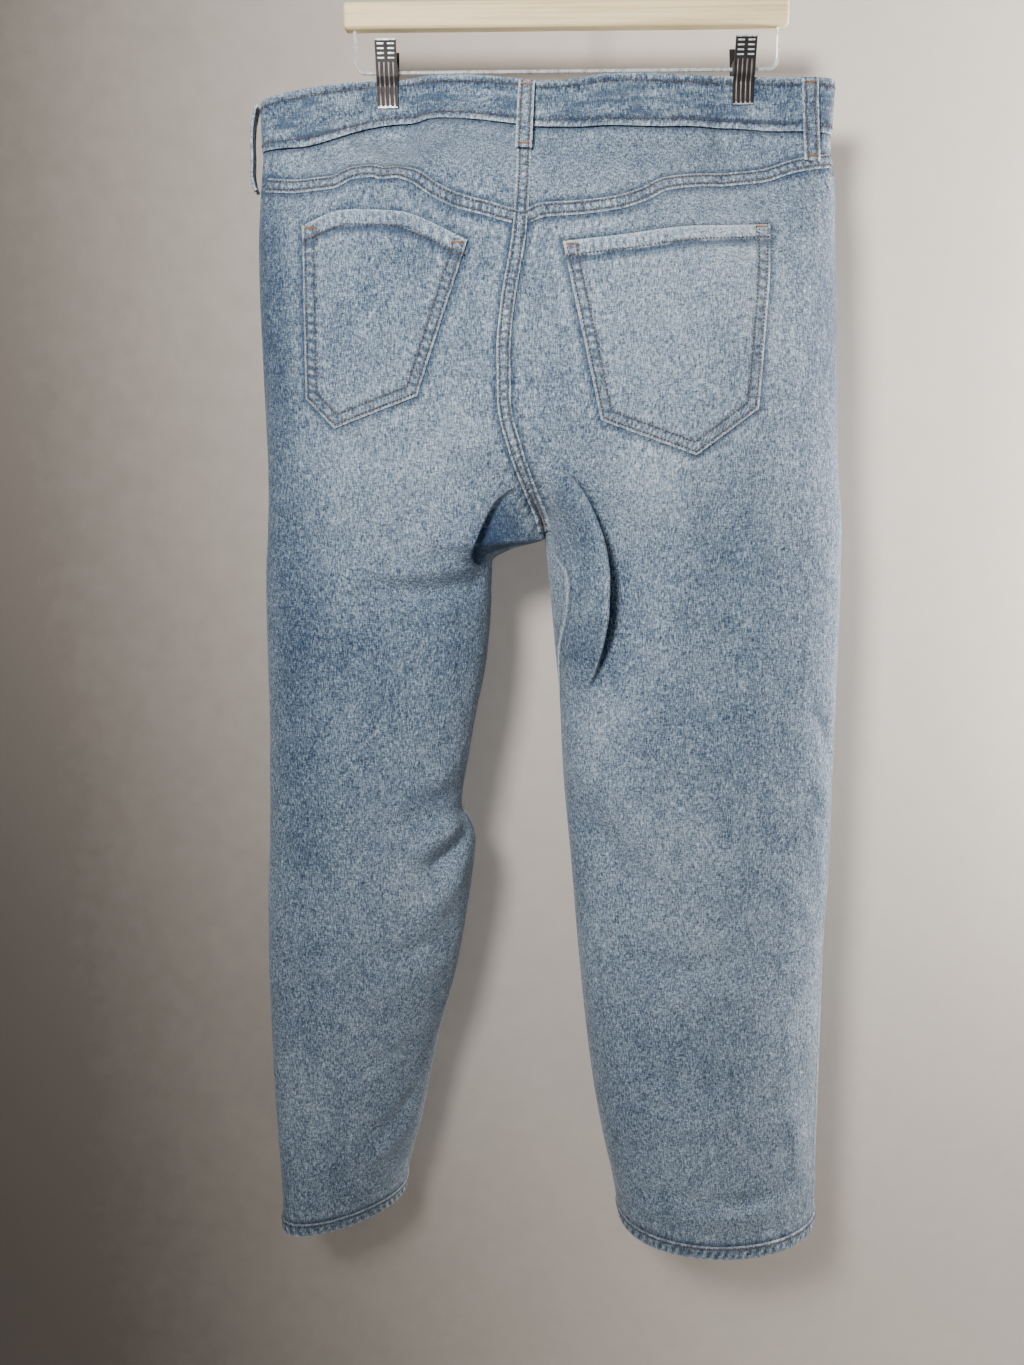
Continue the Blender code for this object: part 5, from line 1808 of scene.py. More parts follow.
@dataclass
class Waistband:
    """The band round the waist, open only where its two ends meet beside the button."""

    level: float = -150.0
    past: float = 2.0
    end_from_seam: float = 22.0
    tall: float = 35.0
    rows: int = 24

    def runs(self) -> list[tuple[LegSurface, Face, Array]]:
        """The stretches of turns that go round the waist.

        Returns:
            Each stretch's leg, face and turns.
        """
        right, left = SURFACES[R], SURFACES[L]
        seam_x = float(centre_seam(Face.FRONT, self.level)) + self.end_from_seam
        start = float(right.turn_at(seam_x - 0.2, self.level, Face.FRONT))
        end = float(right.turn_at(seam_x + 0.2, self.level, Face.FRONT))
        high, low = 90.0 + self.past, 90.0 - self.past
        return [
            (right, Face.FRONT, np.linspace(start, 180.0, 12)[:-1]),
            (left, Face.FRONT, self.spread(left, Face.FRONT, 180.0, high, 110)),
            (left, Face.BACK, self.spread(left, Face.BACK, low, 0.0, 110)),
            (right, Face.BACK, self.spread(right, Face.BACK, 0.0, low, 120)[1:]),
            (right, Face.FRONT, self.spread(right, Face.FRONT, high, end, 110)),
        ]

    def spread(self, leg: LegSurface, face: Face, start: float, end: float, count: int) -> Array:
        """Turns between two, evenly far apart in x.

        Args:
            leg: The leg.
            face: Its face.
            start: The first turn.
            end: The last turn.
            count: How many there are.

        Returns:
            The turns.
        """
        x = leg.smooth_point(np.array([start, end]), self.level)[:, 0]
        even = leg.turn_at(np.linspace(x[0], x[1], count), self.level, face)
        fair = np.linspace(start, end, count)
        mixed = even * 0.85 + fair * 0.15
        mixed[0], mixed[-1] = start, end
        return mixed

    def grid(self) -> tuple[Array, Array, Array]:
        """The band's points, the way out at each, and its share from top to bottom.

        Returns:
            The points, the directions and the shares.
        """
        down = np.linspace(0, 1, self.rows)
        down = down - 0.25 * np.sin(2 * np.pi * down) / (2 * np.pi)
        points, outs = [], []
        for leg, face, turns in self.runs():
            x = leg.smooth_point(turns, self.level)[:, 0]
            top = WAIST.at("top" if face == Face.BACK else "front_top", x)
            levels = top + (band_bottom(x, face) - top) * down[:, None]
            across = np.broadcast_to(turns, levels.shape)
            low, high = leg.lifted(across, levels, 0.0), leg.lifted(across, levels, 1.0)
            points.append(low)
            outs.append(high - low)
        return np.concatenate(points, 1), np.concatenate(outs, 1), down

    def dress(self, jeans: Jeans) -> None:
        """Builds the band with its two rows of stitches.

        Args:
            jeans: The cloth so far.
        """
        base, out, down = self.grid()
        run = arc_gaps(base)[0]
        edge = np.minimum(down, 1 - down)[:, None] * self.tall
        rope = roping(run, edge, 6.0, 2.0)
        lift = CLOTH.band_proud + 0.15 - 0.55 * near(edge, 1.2) - 0.22 * near(edge - 4.6, 1.3)
        lift = lift + 0.22 * rope * near(edge - 2.4, 2.4)
        points = base + out * lift[..., None]
        tone = Tone(points)
        tone.pale += near(edge, 2.2) * 0.20 + near(edge - 2.6, 1.8) * rope * 0.16
        # Painted shade in the grooves of both stitch rows.
        tone.pale -= near(edge - 5.2, 1.2) * 0.30
        streak = lattice(run / 17.0, down[:, None] * self.tall / 2.1, 8.0)
        streak = np.clip(streak - 0.12, 0, 1) * (1 - near(edge, 5.0))
        tone.indigo_and_shade += streak * 1.7
        tone.pale += lattice(run / 24.0, down[:, None] * self.tall / 3.0, 9.0) * 0.14
        tone.pale -= 0.05
        tone.pucker += 0.7 * near(edge - 5, 6)
        jeans.cloth("waistband", points, tone, CLOTH.band_wall, out,
                    Cut("hung", ("clip_left_jaw_back", "clip_right_jaw_back")))
        rows = []
        for level in (5.4 / self.tall, 1 - 5.0 / self.tall):
            i = int(np.argmin(np.abs(down - level)))
            rows.append(row_on(points[i] + out[i] * 0.12, out[i]))
        jeans.thread("stitches_waistband", rows, seed=3)


@dataclass(frozen=True)
class PocketPlan:
    """A patch pocket's corners: its top line, then right foot, tip and left foot."""

    top: tuple[tuple[float, float], ...]
    right_foot: tuple[float, float]
    tip: tuple[float, float]
    left_foot: tuple[float, float]

    def outline(self) -> list[tuple[float, float]]:
        """The closed outline, from the top left corner round and back."""
        return [*self.top, self.right_foot, self.tip, self.left_foot, self.top[0]]

    def sides(self) -> list[tuple[float, float]]:
        """The sewn edge, from the top right corner round to the top left one."""
        return [self.top[-1], self.right_foot, self.tip, self.left_foot, self.top[0]]


POCKETS = {
    L: PocketPlan(((-210, -252), (-176, -242), (-136, -244), (-80, -266)),
                  (-122, -384), (-189, -408), (-212, -384)),
    R: PocketPlan(((-6, -268), (44, -263), (100, -256), (160, -253)),
                  (150, -396), (101, -432), (24, -404)),
}


@dataclass
class PatchPocket:
    """A back pocket: five sides, a hem across its mouth, and a boxed bar at each top corner."""

    side: Side
    rows: int = 100
    columns: int = 92
    hem: float = 12.0
    rows_at: tuple[float, float] = (2.6, 9.4)
    edge_length: float = 460.0
    away: float = 60.0

    def plan_grid(self) -> tuple[Array, Array, Array, Array]:
        """The grid's x and z, with how far each point is below the mouth and down its share.

        Returns:
            The four arrays, rows by columns.
        """
        plan = POCKETS[self.side]
        across = np.linspace(0, 1, self.columns)
        order = np.linspace(0, 1, len(plan.top))
        top = Table("order x z", [(o, x, z) for o, (x, z) in zip(order, plan.top)])
        top_x, top_z = np.interp(across, order, [p[0] for p in plan.top]), top.at("z", across)
        (lx, lz), (tx, tz), (rx, rz) = plan.left_foot, plan.tip, plan.right_foot
        tip = (tx - lx) / (rx - lx)
        foot_x = lx + (rx - lx) * across
        foot_z = np.interp(across, [0, tip, 1], [lz, tz, rz])
        down = np.linspace(0, 1, self.rows)[:, None]
        x = top_x + (foot_x - top_x) * down
        z = top_z + (foot_z - top_z) * down
        return x, z, top_z - z, down

    def dress(self, jeans: Jeans) -> None:
        """Builds the pocket and its stitching.

        Args:
            jeans: The cloth so far.
        """
        plan = POCKETS[self.side]
        x, z, below, _down = self.plan_grid()
        edge, _s, place = path_distance(x, z, plan.sides())
        run = place * self.edge_length
        rope = roping(run, edge, 5.6, 3.0 + self.side.value)
        mouth = below < self.hem
        sewn = np.where(below > 3.0, edge, self.away)
        lift = CLOTH.pocket_clear + CLOTH.pocket_wall + 0.1
        lift = lift - 0.7 * near(sewn, 1.3) + 0.16 * rope * near(sewn - 6.0, 3.0)
        lift = lift - 0.22 * near(sewn - self.rows_at[0], 1.0)
        lift = lift - 0.22 * near(sewn - self.rows_at[1], 1.0)
        lift = lift + 0.6 * (1 - ease((below - self.hem + 0.5) / 1.6))
        lift = lift - 0.5 * near(below, 0.9)
        bag = ease(below / 40.0) * near(below - 80, 90) * ease((edge - 8) / 30.0)
        lift = lift + 1.1 * bag
        points = placed(Face.BACK, x, z, lift)
        tone = Tone(points)
        tone.pale += near(sewn - 0.4, 1.4) * 0.30
        tone.pale += near(sewn - 6.0, 2.4) * (0.05 + rope * 0.24)
        tone.indigo_and_shade += near(sewn - 6.0, 2.8) * np.clip(-rope, 0, 1) * 0.9
        # Painted shade in the grooves of the stitch rows.
        for at in self.rows_at:
            tone.pale -= near(sewn - at, 1.1) * 0.20
        tone.beside(np.clip(sewn - 11.0, 0, None) + 4.0, 2.0, run)
        across = x + 0.4 * z
        mouth_rope = roping(across, below, 5.8, 6.0)
        tone.pale += mouth * (0.12 + 0.22 * mouth_rope * near(below - 6, 3.4))
        tone.indigo_and_shade += mouth * np.clip(-mouth_rope, 0, 1) * near(below - 6, 3.2) * 0.6
        # Painted shade in the hem's stitch groove.
        tone.pale -= near(below - self.hem + 1.2, 1.0) * 0.22
        # A deep blue painted shadow under the hem's fold.
        tone.indigo_and_shade += near(below - self.hem - 3.5, 3.2) * 0.45
        tone.pale += near(below, 1.6) * 0.22
        tone.beside(np.where(below > self.hem, below - self.hem, self.away), 8.0, across)
        tone.pale += 0.03
        name = f"pocket_back_{self.side.name.lower()}"
        jeans.cloth(name, points, tone, CLOTH.pocket_wall, OUT[Face.BACK],
                    Cut("laid", (f"back_{self.side.name.lower()}_cloth",)))
        self.sew(jeans, name)

    def sew(self, jeans: Jeans, name: str) -> None:
        """The pocket's rows of thread, its corner boxes and their bars.

        Args:
            jeans: The cloth so far.
            name: The pocket's name.
        """
        plan = POCKETS[self.side]
        lift = CLOTH.pocket_clear + CLOTH.pocket_wall + 0.15
        rows = [thread_row(Face.BACK, inset(plan.sides(), gap), lift) for gap in self.rows_at]
        top = [(x, z - self.hem + 1.2) for x, z in plan.top]
        top[0], top[-1] = (top[0][0] + 3, top[0][1]), (top[-1][0] - 3, top[-1][1])
        rows.append(thread_row(Face.BACK, top, lift + 0.6))
        bars = []
        for (x, z), hand in ((plan.top[0], 1), (plan.top[-1], -1)):
            near_x, far_x = x + hand * 2.6, x + hand * 12.0
            rows.append(thread_row(Face.BACK, [(far_x, z - 3), (far_x, z - 11)], lift + 0.5))
            bars.append(thread_row(Face.BACK, [(near_x, z - 2.2), (far_x, z - 2.2)], lift + 0.5,
                                   step=0.6, across=True))
        jeans.thread(f"stitches_{name}", rows, seed=5)
        jeans.thread(f"bars_{name}", bars, bar=True, pitch=0.7, length=2.4, radius=0.42, seed=6)


@dataclass
class SeamStrip:
    """A flat double-sewn seam that stands proud of the panels."""

    name: str
    path: Sequence[tuple[float, float]]
    low: float
    rests_on: tuple[str, ...]
    width: float = 11.0
    rows: tuple[float, float] = (2.3, 8.9)
    across: int = 13
    step: float = 1.5
    seed: float = 1.0

    def dress(self, jeans: Jeans) -> None:
        """Builds the strip and its two rows of stitches.

        Args:
            jeans: The cloth so far.
        """
        at, line = followed(self.path, self.step, more=0)
        step = np.gradient(line, axis=0)
        side = np.stack([-step[:, 1], step[:, 0]], -1)
        side /= np.linalg.norm(side, axis=1, keepdims=True)
        share = np.linspace(-0.5, 0.5, self.across)[:, None] * self.width
        x = line[:, 0] + share * side[:, 0]
        z = line[:, 1] + share * side[:, 1]
        gap = self.width / 2 - np.abs(share)
        rope = roping(at[None, :], share, 5.6, self.seed)
        lift = self.low + CLOTH.strip_wall + 0.1 - 0.6 * near(gap, 0.9)
        lift = lift + 0.2 * rope * near(gap - 5.5, 2.6) - 0.2 * near(gap - self.rows[0], 0.8)
        points = placed(Face.BACK, x, z, lift)
        tone = Tone(points)
        tone.pale += near(gap, 1.3) * 0.30 + near(gap - 5.5, 2.2) * (0.08 + rope * 0.26)
        tone.indigo_and_shade += near(gap - 5.5, 2.6) * np.clip(-rope, 0, 1) * 0.9
        # Painted shade in the grooves of the stitch rows.
        tone.pale -= near(gap - self.rows[0], 1.1) * 0.24
        tone.pucker += 0.8
        jeans.cloth(self.name, points, tone, CLOTH.strip_wall, OUT[Face.BACK],
                    Cut("laid", self.rests_on))
        rows = []
        for sign in (-1, 1):
            offset = sign * (self.width / 2 - self.rows[0])
            moved = line + side * offset
            rows.append(thread_row(Face.BACK, moved[::2], self.low + CLOTH.strip_wall + 0.12))
        jeans.thread(f"stitches_{self.name}", rows, seed=int(self.seed) + 10)


def seam_strips() -> list[SeamStrip]:
    """The yoke seams and the seat seam.

    Returns:
        The strips.
    """
    strips = []
    for leg in SURFACES.values():
        sign = leg.side.value
        start = float(centre_seam(Face.BACK, -248.0)) + sign * 5.9
        out = float(leg.column("out", -205.0)) - sign * 7.0
        path = [(x, float(YOKE_SEAM.at("z", x))) for x in np.linspace(start, out, 90)]
        strips.append(SeamStrip(f"yoke_seam_{leg.name}", path, 0.3,
                                (f"yoke_{leg.name}_cloth", f"back_{leg.name}_cloth"),
                                seed=4.0 + sign))
    top = float(band_bottom(-34.0, Face.BACK)) - 1.0
    heights = np.linspace(top, CLOTH.crotch + 7, 130)
    path = [(float(centre_seam(Face.BACK, z)), z) for z in heights]
    strips.append(SeamStrip("seat_seam", path, 0.5, ("back_left_cloth", "back_right_cloth"),
                            seed=7.0))
    return strips


@dataclass
class BeltLoop:
    """A strap sewn over the waistband at both ends and bowed clear of it between."""

    name: str
    side: Side
    face: Face
    top: tuple[float, float]
    bottom: tuple[float, float]
    bow: float = 3.0
    row: float = 2.8
    edge_on: bool = False

    def spine(self, share: Array) -> tuple[Array, Array, Array]:
        """The strap's middle line with the ways across and out.

        Args:
            share: Shares of the strap's length.

        Returns:
            The line's points and both directions.
        """
        if self.edge_on:
            z = self.top[1] + (self.bottom[1] - self.top[1]) * share
            spine = SURFACES[self.side].point(np.full(len(z), 90.0), z)
            return spine, np.tile([0, 1.0, 0], (len(z), 1)), np.tile([-1.0, 0, 0], (len(z), 1))
        x = self.top[0] + (self.bottom[0] - self.top[0]) * share
        z = self.top[1] + (self.bottom[1] - self.top[1]) * share
        spine = placed(self.face, x, z, 0.0)
        out = placed(self.face, x, z, 1.0) - spine
        across = np.array([1.0, 0, 0]) - out * out[:, :1]
        return spine, across / np.linalg.norm(across, axis=1, keepdims=True), out

    def dress(self, jeans: Jeans) -> None:
        """Builds the strap, its rows of stitches and the bars at its ends.

        Args:
            jeans: The cloth so far.
        """
        share = np.linspace(0, 1, 44)
        spine, across, out = self.spine(share)
        low, high = CLOTH.band_proud + 0.9, 1.3 + CLOTH.strip_wall + 0.5
        lift = low + (high - low) * ease((share - 0.55) / 0.3)
        lift = lift + self.bow * np.sin(np.pi * share) ** 0.7 + CLOTH.loop_wall
        width = CLOTH.loop_width
        span = np.linspace(-0.5, 0.5, 15) * width
        gap = width / 2 - np.abs(span)
        tall = float(np.linalg.norm(spine[-1] - spine[0]))
        run = share * tall
        rope = roping(run[:, None], span, 5.2, 2.0 + len(self.name))
        rise = lift[:, None] - 0.5 * near(gap, 0.9) + 0.15 * rope * near(gap - width / 2, 3.0)
        ends = np.minimum(run, tall - run)[:, None]
        rise = rise - 0.4 * near(ends, 1.2)
        points = spine[:, None] + across[:, None] * span[:, None] + out[:, None] * rise[..., None]
        tone = Tone(points)
        middle = gap - width / 2
        tone.pale += near(gap, 1.5) * 0.32 + near(middle, 2.4) * (0.04 + rope * 0.18)
        tone.indigo_and_shade += near(middle, 2.6) * np.clip(-rope, 0, 1) * 0.7
        # Painted shade in the grooves of the stitch rows.
        tone.pale -= near(gap - self.row, 1.0) * 0.24
        tone.pale += near(ends, 2.5) * 0.22
        tone.pucker += 0.5
        jeans.cloth(self.name, points, tone, CLOTH.loop_wall, np.mean(out, 0),
                    Cut("laid", ("waistband_cloth",)))
        rows = []
        for sign in (-1, 1):
            line = spine + across * sign * (width / 2 - self.row) + out * (lift[:, None] + 0.1)
            rows.append(row_on(line, out))
        jeans.thread(f"stitches_{self.name}", rows, seed=8)
        bars = []
        for i in (2, len(share) - 3):
            place = spine[i] + out[i] * (lift[i] + 0.15)
            line = place + across[i] * np.linspace(-0.36, 0.36, 14)[:, None] * width
            bars.append(row_on(line, np.tile(out[i], (14, 1)), across=True))
        jeans.thread(f"bars_{self.name}", bars, bar=True, pitch=0.7, length=2.2, radius=0.42)


LOOPS = (
    BeltLoop("loop_back_centre", R, B, (-32, -142), (-36, -196)),
    BeltLoop("loop_back_right", R, B, (194, -137), (195, -202)),
    BeltLoop("loop_front_left", L, F, (-108, -139), (-109, -185)),
    BeltLoop("loop_front_right", R, F, (98, -139), (99, -186)),
    BeltLoop("loop_back_left", L, B, (0, -150), (0, -215), bow=6.0, edge_on=True),
)


@dataclass
class Hem:
    """The turned-up band at the foot of a leg, roped by wear and closed all round."""

    leg: LegSurface
    columns: int = 330
    rows: int = 12
    row: float = 2.6

    def dress(self, jeans: Jeans) -> None:
        """Builds the band with its one row of stitches.

        Args:
            jeans: The cloth so far.
        """
        turn = np.linspace(-90, 270, self.columns + 1)[:-1]
        down = np.linspace(0, 1, self.rows)[:, None]
        level = CLOTH.hem_level + CLOTH.hem_height * (1 - down) + 0 * turn
        turns = np.broadcast_to(turn, level.shape)
        base = self.leg.lifted(turns, level, 0.0)
        out = self.leg.lifted(turns, level, 1.0) - base
        run = arc_gaps(base)[0]
        below = down * CLOTH.hem_height
        rope = roping(run, below * 1.4, 7.4, 4.0 + self.leg.side.value)
        lift = CLOTH.hem_proud + 0.1 - 0.5 * near(below, 0.9)
        lift = lift - 0.5 * near(CLOTH.hem_height - below, 1.2)
        lift = lift + 0.35 * rope * near(below - 8, 4.5) - 0.2 * near(below - self.row, 0.9)
        points = base + out * lift[..., None]
        tone = Tone(points)
        tone.pale += near(below, 1.4) * 0.26 + near(below - 8, 3.6) * rope * 0.30
        tone.indigo_and_shade += near(below - 8, 3.8) * np.clip(-rope, 0, 1) * 1.0
        # Painted shade in the stitch row's groove.
        tone.pale -= near(below - self.row, 1.0) * 0.24
        tone.pale += near(CLOTH.hem_height - below, 1.8) * 0.28
        tone.pucker += 0.9
        jeans.cloth(f"hem_{self.leg.name}", points, tone, CLOTH.hem_wall, out,
                    Cut("hung", (f"back_{self.leg.name}_cloth",)), closed=True)
        i = int(round(self.row / CLOTH.hem_height * (self.rows - 1)))
        line = np.concatenate([points[i], points[i, :1]])
        way = np.concatenate([out[i], out[i, :1]])
        jeans.thread(f"stitches_hem_{self.leg.name}", [row_on(line + way * 0.14, way)], seed=9)


@dataclass
class FrontPieces:
    """What the front alone has: pocket facings, the coin pocket, the fly and the zip."""

    side_margin: float = 1.2
    facing_lap: float = 14.0
    recess: float = 2.3
    sinks: float = 2.4
    fly_width: float = 38.0
    fly_length: float = 165.0
    zip_width: float = 26.0

    def grid(self, leg: LegSurface, from_side: Array, low: Callable, high: Callable,
             rows: int) -> tuple[Array, Array]:
        """Turns and heights on a leg's front, at distances in from its side seam.

        Args:
            leg: The leg.
            from_side: The columns' distances from the side seam.
            low: The lower line's height at any x.
            high: The upper line's height at any x.
            rows: How many rows there are.

        Returns:
            The turns and the heights.
        """

        def place(level: Array) -> tuple[Array, Array]:
            """The columns' turns and x at their heights."""
            x = leg.column("out", level) - leg.side.value * from_side
            side_turn = leg.seams(level)[1] + self.side_margin
            return np.maximum(leg.turn_at(x, level, Face.FRONT), side_turn), x

        return fitted_grid(place, high, low, len(from_side), rows)

    def lift(self, z: Array) -> Array:
        """How far the facing lies from the front's outer surface: deeper further down."""
        return -self.recess - self.sinks * ease((-180.0 - z) / 30.0)

    def facing(self, jeans: Jeans, leg: LegSurface) -> None:
        """The cloth that shows behind a front pocket's scooped mouth.

        Args:
            jeans: The cloth so far.
            leg: The leg.
        """
        from_side = np.linspace(0, 1, 60) ** 1.4 * (MOUTH_WIDTH + self.facing_lap)
        turn, z = self.grid(
            leg, from_side, lambda x: mouth_line(leg, x) - self.facing_lap,
            lambda x: band_bottom(x, Face.FRONT) - 1.0, 50,
        )
        points = leg.lifted(turn, z, self.lift(z))
        tone = Tone(points)
        tone.pale -= 0.12
        tone.beside(np.abs(mouth_line(leg, tone.x) - tone.z), 3.0, tone.x)
        jeans.cloth(f"pocket_facing_{leg.name}", points, tone, CLOTH.wall, OUT[Face.FRONT],
                    Cut("hung", ("waistband_cloth",)))

    def mouth_thread(self, jeans: Jeans) -> None:
        """Two rows of thread round each pocket mouth.

        Args:
            jeans: The cloth so far.
        """
        rows = []
        for leg in SURFACES.values():
            for gap in (3.0, 9.0):
                from_side = np.linspace(4, MOUTH_WIDTH - 2, 60)
                x = leg.column("out", -200.0) - leg.side.value * from_side
                z = mouth_line(leg, x) - gap
                rows.append(thread_row(Face.FRONT, list(zip(x, z)), 0.12))
        jeans.thread("stitches_mouths", rows, seed=12)

    def coin(self, jeans: Jeans) -> None:
        """The small pocket inside the mouth of the wearer's right front pocket.

        Args:
            jeans: The cloth so far.
        """
        leg = SURFACES[R]
        turn, z = self.grid(
            leg, np.linspace(16.0, 66.0, 36), lambda x: mouth_line(leg, x) + 2.5,
            lambda x: band_bottom(x, Face.FRONT) - 30.0, 30,
        )
        points = leg.lifted(turn, z, self.lift(z) + 1.5)
        tone = Tone(points)
        first, last = arc_gaps(points)
        tone.pale += near(np.minimum(first, last), 1.6) * 0.2
        jeans.cloth("coin_pocket", points, tone, 0.8, OUT[Face.FRONT],
                    Cut("laid", ("pocket_facing_right_cloth",)))

    def fly(self, jeans: Jeans) -> None:
        """The fly's facing with its curved rows of stitches, and the closed zip behind.

        Args:
            jeans: The cloth so far.
        """
        down = np.linspace(0, 1, 80)
        width = self.fly_width * np.sqrt(1 - np.clip((down - 0.7) / 0.31, 0, 1) ** 2)
        top = float(band_bottom(-30.0, Face.FRONT)) - 2.0
        share = np.linspace(0, 1, 26)
        z = top - self.fly_length * down[:, None] + 0 * share
        x = centre_seam(Face.FRONT, z) - 1.5 - width[:, None] * share
        gap = np.minimum(share * self.fly_width, (1 - share) * width[:, None])
        points = placed(Face.FRONT, x[:, ::-1], z, 2.05 - 0.5 * near(gap[:, ::-1], 0.9))
        tone = Tone(points)
        tone.pale += near(gap[:, ::-1], 1.6) * 0.22
        tone.pucker += 0.5
        jeans.cloth("fly", points, tone, 1.0, OUT[Face.FRONT], Cut("laid", ("front_left_cloth",)))
        rows = []
        for inside in (3.0, 8.0):
            line = list(zip(x[:, -1] + inside, z[:, -1]))[:-6]
            rows.append(thread_row(Face.FRONT, line, 2.1))
        jeans.thread("stitches_fly", rows, seed=14)
        z = np.linspace(top - 2, top - 142, 60)[:, None] + np.zeros(12)
        x = centre_seam(Face.FRONT, z) + self.zip_width * np.linspace(-0.5, 0.5, 12)
        points = placed(Face.FRONT, x, z, -3.8)
        piece = shell("zip_cloth", points, 1.0, OUT[Face.FRONT], Tone(points).layer())
        piece.data.materials.append(jeans.finishes.tape)
        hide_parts("zip")
        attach(piece, "root")
        line = [(float(centre_seam(Face.FRONT, v)), v) for v in np.linspace(top - 4, top - 140, 50)]
        teeth = jeans.needle.sew("zip_teeth", [thread_row(Face.FRONT, line, -3.5, across=True)],
                                 jeans.finishes.copper, pitch=1.5, length=5.0, radius=0.55)
        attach(teeth, "root")

    def dress(self, jeans: Jeans) -> None:
        """Builds all the front's own pieces.

        Args:
            jeans: The cloth so far.
        """
        for leg in SURFACES.values():
            self.facing(jeans, leg)
        self.mouth_thread(jeans)
        self.coin(jeans)
        self.fly(jeans)


def box_mesh(form: bmesh.types.BMesh, centre: Sequence[float], size: Sequence[float],
             ease_edge: float = 0.2) -> None:
    """Adds a small block with eased edges, in millimetres, to a form.

    Args:
        form: The form.
        centre: The block's middle.
        size: Its sides.
        ease_edge: How far its edges are eased.
    """
    made = bmesh.ops.create_cube(form, size=1.0)["verts"]
    for vertex in made:
        vertex.co = Vector([c + v * s for c, v, s in zip(centre, vertex.co, size)]) * MM
    edges = list({edge for vertex in made for edge in vertex.link_edges})
    bmesh.ops.bevel(form, geom=edges, offset=ease_edge * MM, segments=2, affect="EDGES",
                    clamp_overlap=True)


@dataclass
class ClipTrim:
    """The pressed marks of a clip's jaw: ribs, dashes, dots and a rolled lip."""

    name: str
    x: float
    jaw: tuple[tuple[float, float], ...] = (
        (4.5, -153.5), (4.5, -137.0), (7.2, -131.0), (9.4, -120.0), (13.0, -106.0))
    width: float = 17.0
    sheet: float = 1.2
    rib_pitch: float = 3.7
    ribs: int = 4

    def depth(self, z: float) -> float:
        """How far the jaw's outer face is from the middle plane at a height.

        Args:
            z: The height.

        Returns:
            The distance.
        """
        rows = sorted((level, y) for y, level in self.jaw)
        y = float(np.interp(z, [row[0] for row in rows], [row[1] for row in rows]))
        return y + self.sheet / 2

    def rib(self, form: bmesh.types.BMesh, x: float, side: int) -> None:
        """A raised rib that follows the jaw from its marks down to its tip.

        Args:
            form: The form that it joins.
            x: The rib's x.
            side: 1 on the far jaw and -1 on the near one.
        """
        rows = []
        levels = np.linspace(-121.5, -151.2, 16)
        for i, z in enumerate(levels):
            up = 0.75 * math.sin(math.pi * min(1.0, 4.0 * min(i, 15 - i) / 15 + 0.05) / 2)
            y = self.depth(float(z))
            cut = [(-0.85, -0.2), (-0.6, up * 0.7), (0, up), (0.6, up * 0.7), (0.85, -0.2)]
            rows.append([form.verts.new((Vector((x + a, side * (y + b), z)) * MM)) for a, b in cut])
        for low, high in zip(rows, rows[1:]):
            for j in range(5):
                k = (j + 1) % 5
                form.faces.new((low[j], low[k], high[k], high[j]))
        form.faces.new(rows[0])
        form.faces.new(rows[-1][::-1])
        bmesh.ops.recalc_face_normals(form, faces=form.faces[:])

    def dress(self, finishes: Finishes) -> None:
        """Builds the raised marks on both jaws.

        Args:
            finishes: The shared materials.
        """
        form, bright = bmesh.new(), bmesh.new()
        for side in (-1, 1):
            for i in range(self.ribs):
                x = self.x + (i - 1.5) * self.rib_pitch
                self.rib(form, x, side)
                box_mesh(bright, (x, side * (4.5 + self.sheet / 2 + 0.1), -152.0),
                         (1.6, 0.7, 0.9), 0.3)
            for row in range(4):
                z = -109.0 - row * 3.2
                y = side * (self.depth(z) + 0.12)
                for hand in (-1, 1):
                    box_mesh(bright, (self.x + hand * 4.1, y, z), (5.4, 0.8, 1.3), 0.35)
            lip = side * (self.depth(-106.0) + 0.1)
            box_mesh(bright, (self.x, lip, -106.4), (self.width - 0.4, 1.6, 1.2), 0.5)
            box_mesh(bright, (self.x, side * 5.1, -153.2), (self.width - 0.4, 1.5, 0.9), 0.4)
        for label, made, material in (("ribs", form, finishes.rib),
                                      ("marks", bright, finishes.bright)):
            mesh = bpy.data.meshes.new(f"{self.name}_{label}")
            made.to_mesh(mesh)
            made.free()
            mesh.shade_smooth()
            mesh.set_sharp_from_angle(angle=math.radians(40))
            mesh.materials.append(material)
            piece = linked(mesh.name, mesh)
            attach(piece, "root")


def dress_nodes(finishes: Finishes) -> None:
    """Gives the carried-over hard pieces their finished materials.

    Args:
        finishes: The shared materials.
    """
    looks = {
        "hanger_bar": finishes.wood, "hanger_hook": finishes.bright,
        "hanger_wire": finishes.bright, "waist_button": finishes.copper,
        "clip_left_spring": finishes.bright, "clip_right_spring": finishes.bright,
    }
    for where in ("left", "right"):
        for jaw in ("back", "front"):
            looks[f"clip_{where}_jaw_{jaw}"] = finishes.dark
    for name, material in looks.items():
        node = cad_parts[name]
        if not node.material_slots:
            node.data.materials.append(material)
        for slot in node.material_slots:
            slot.material = material


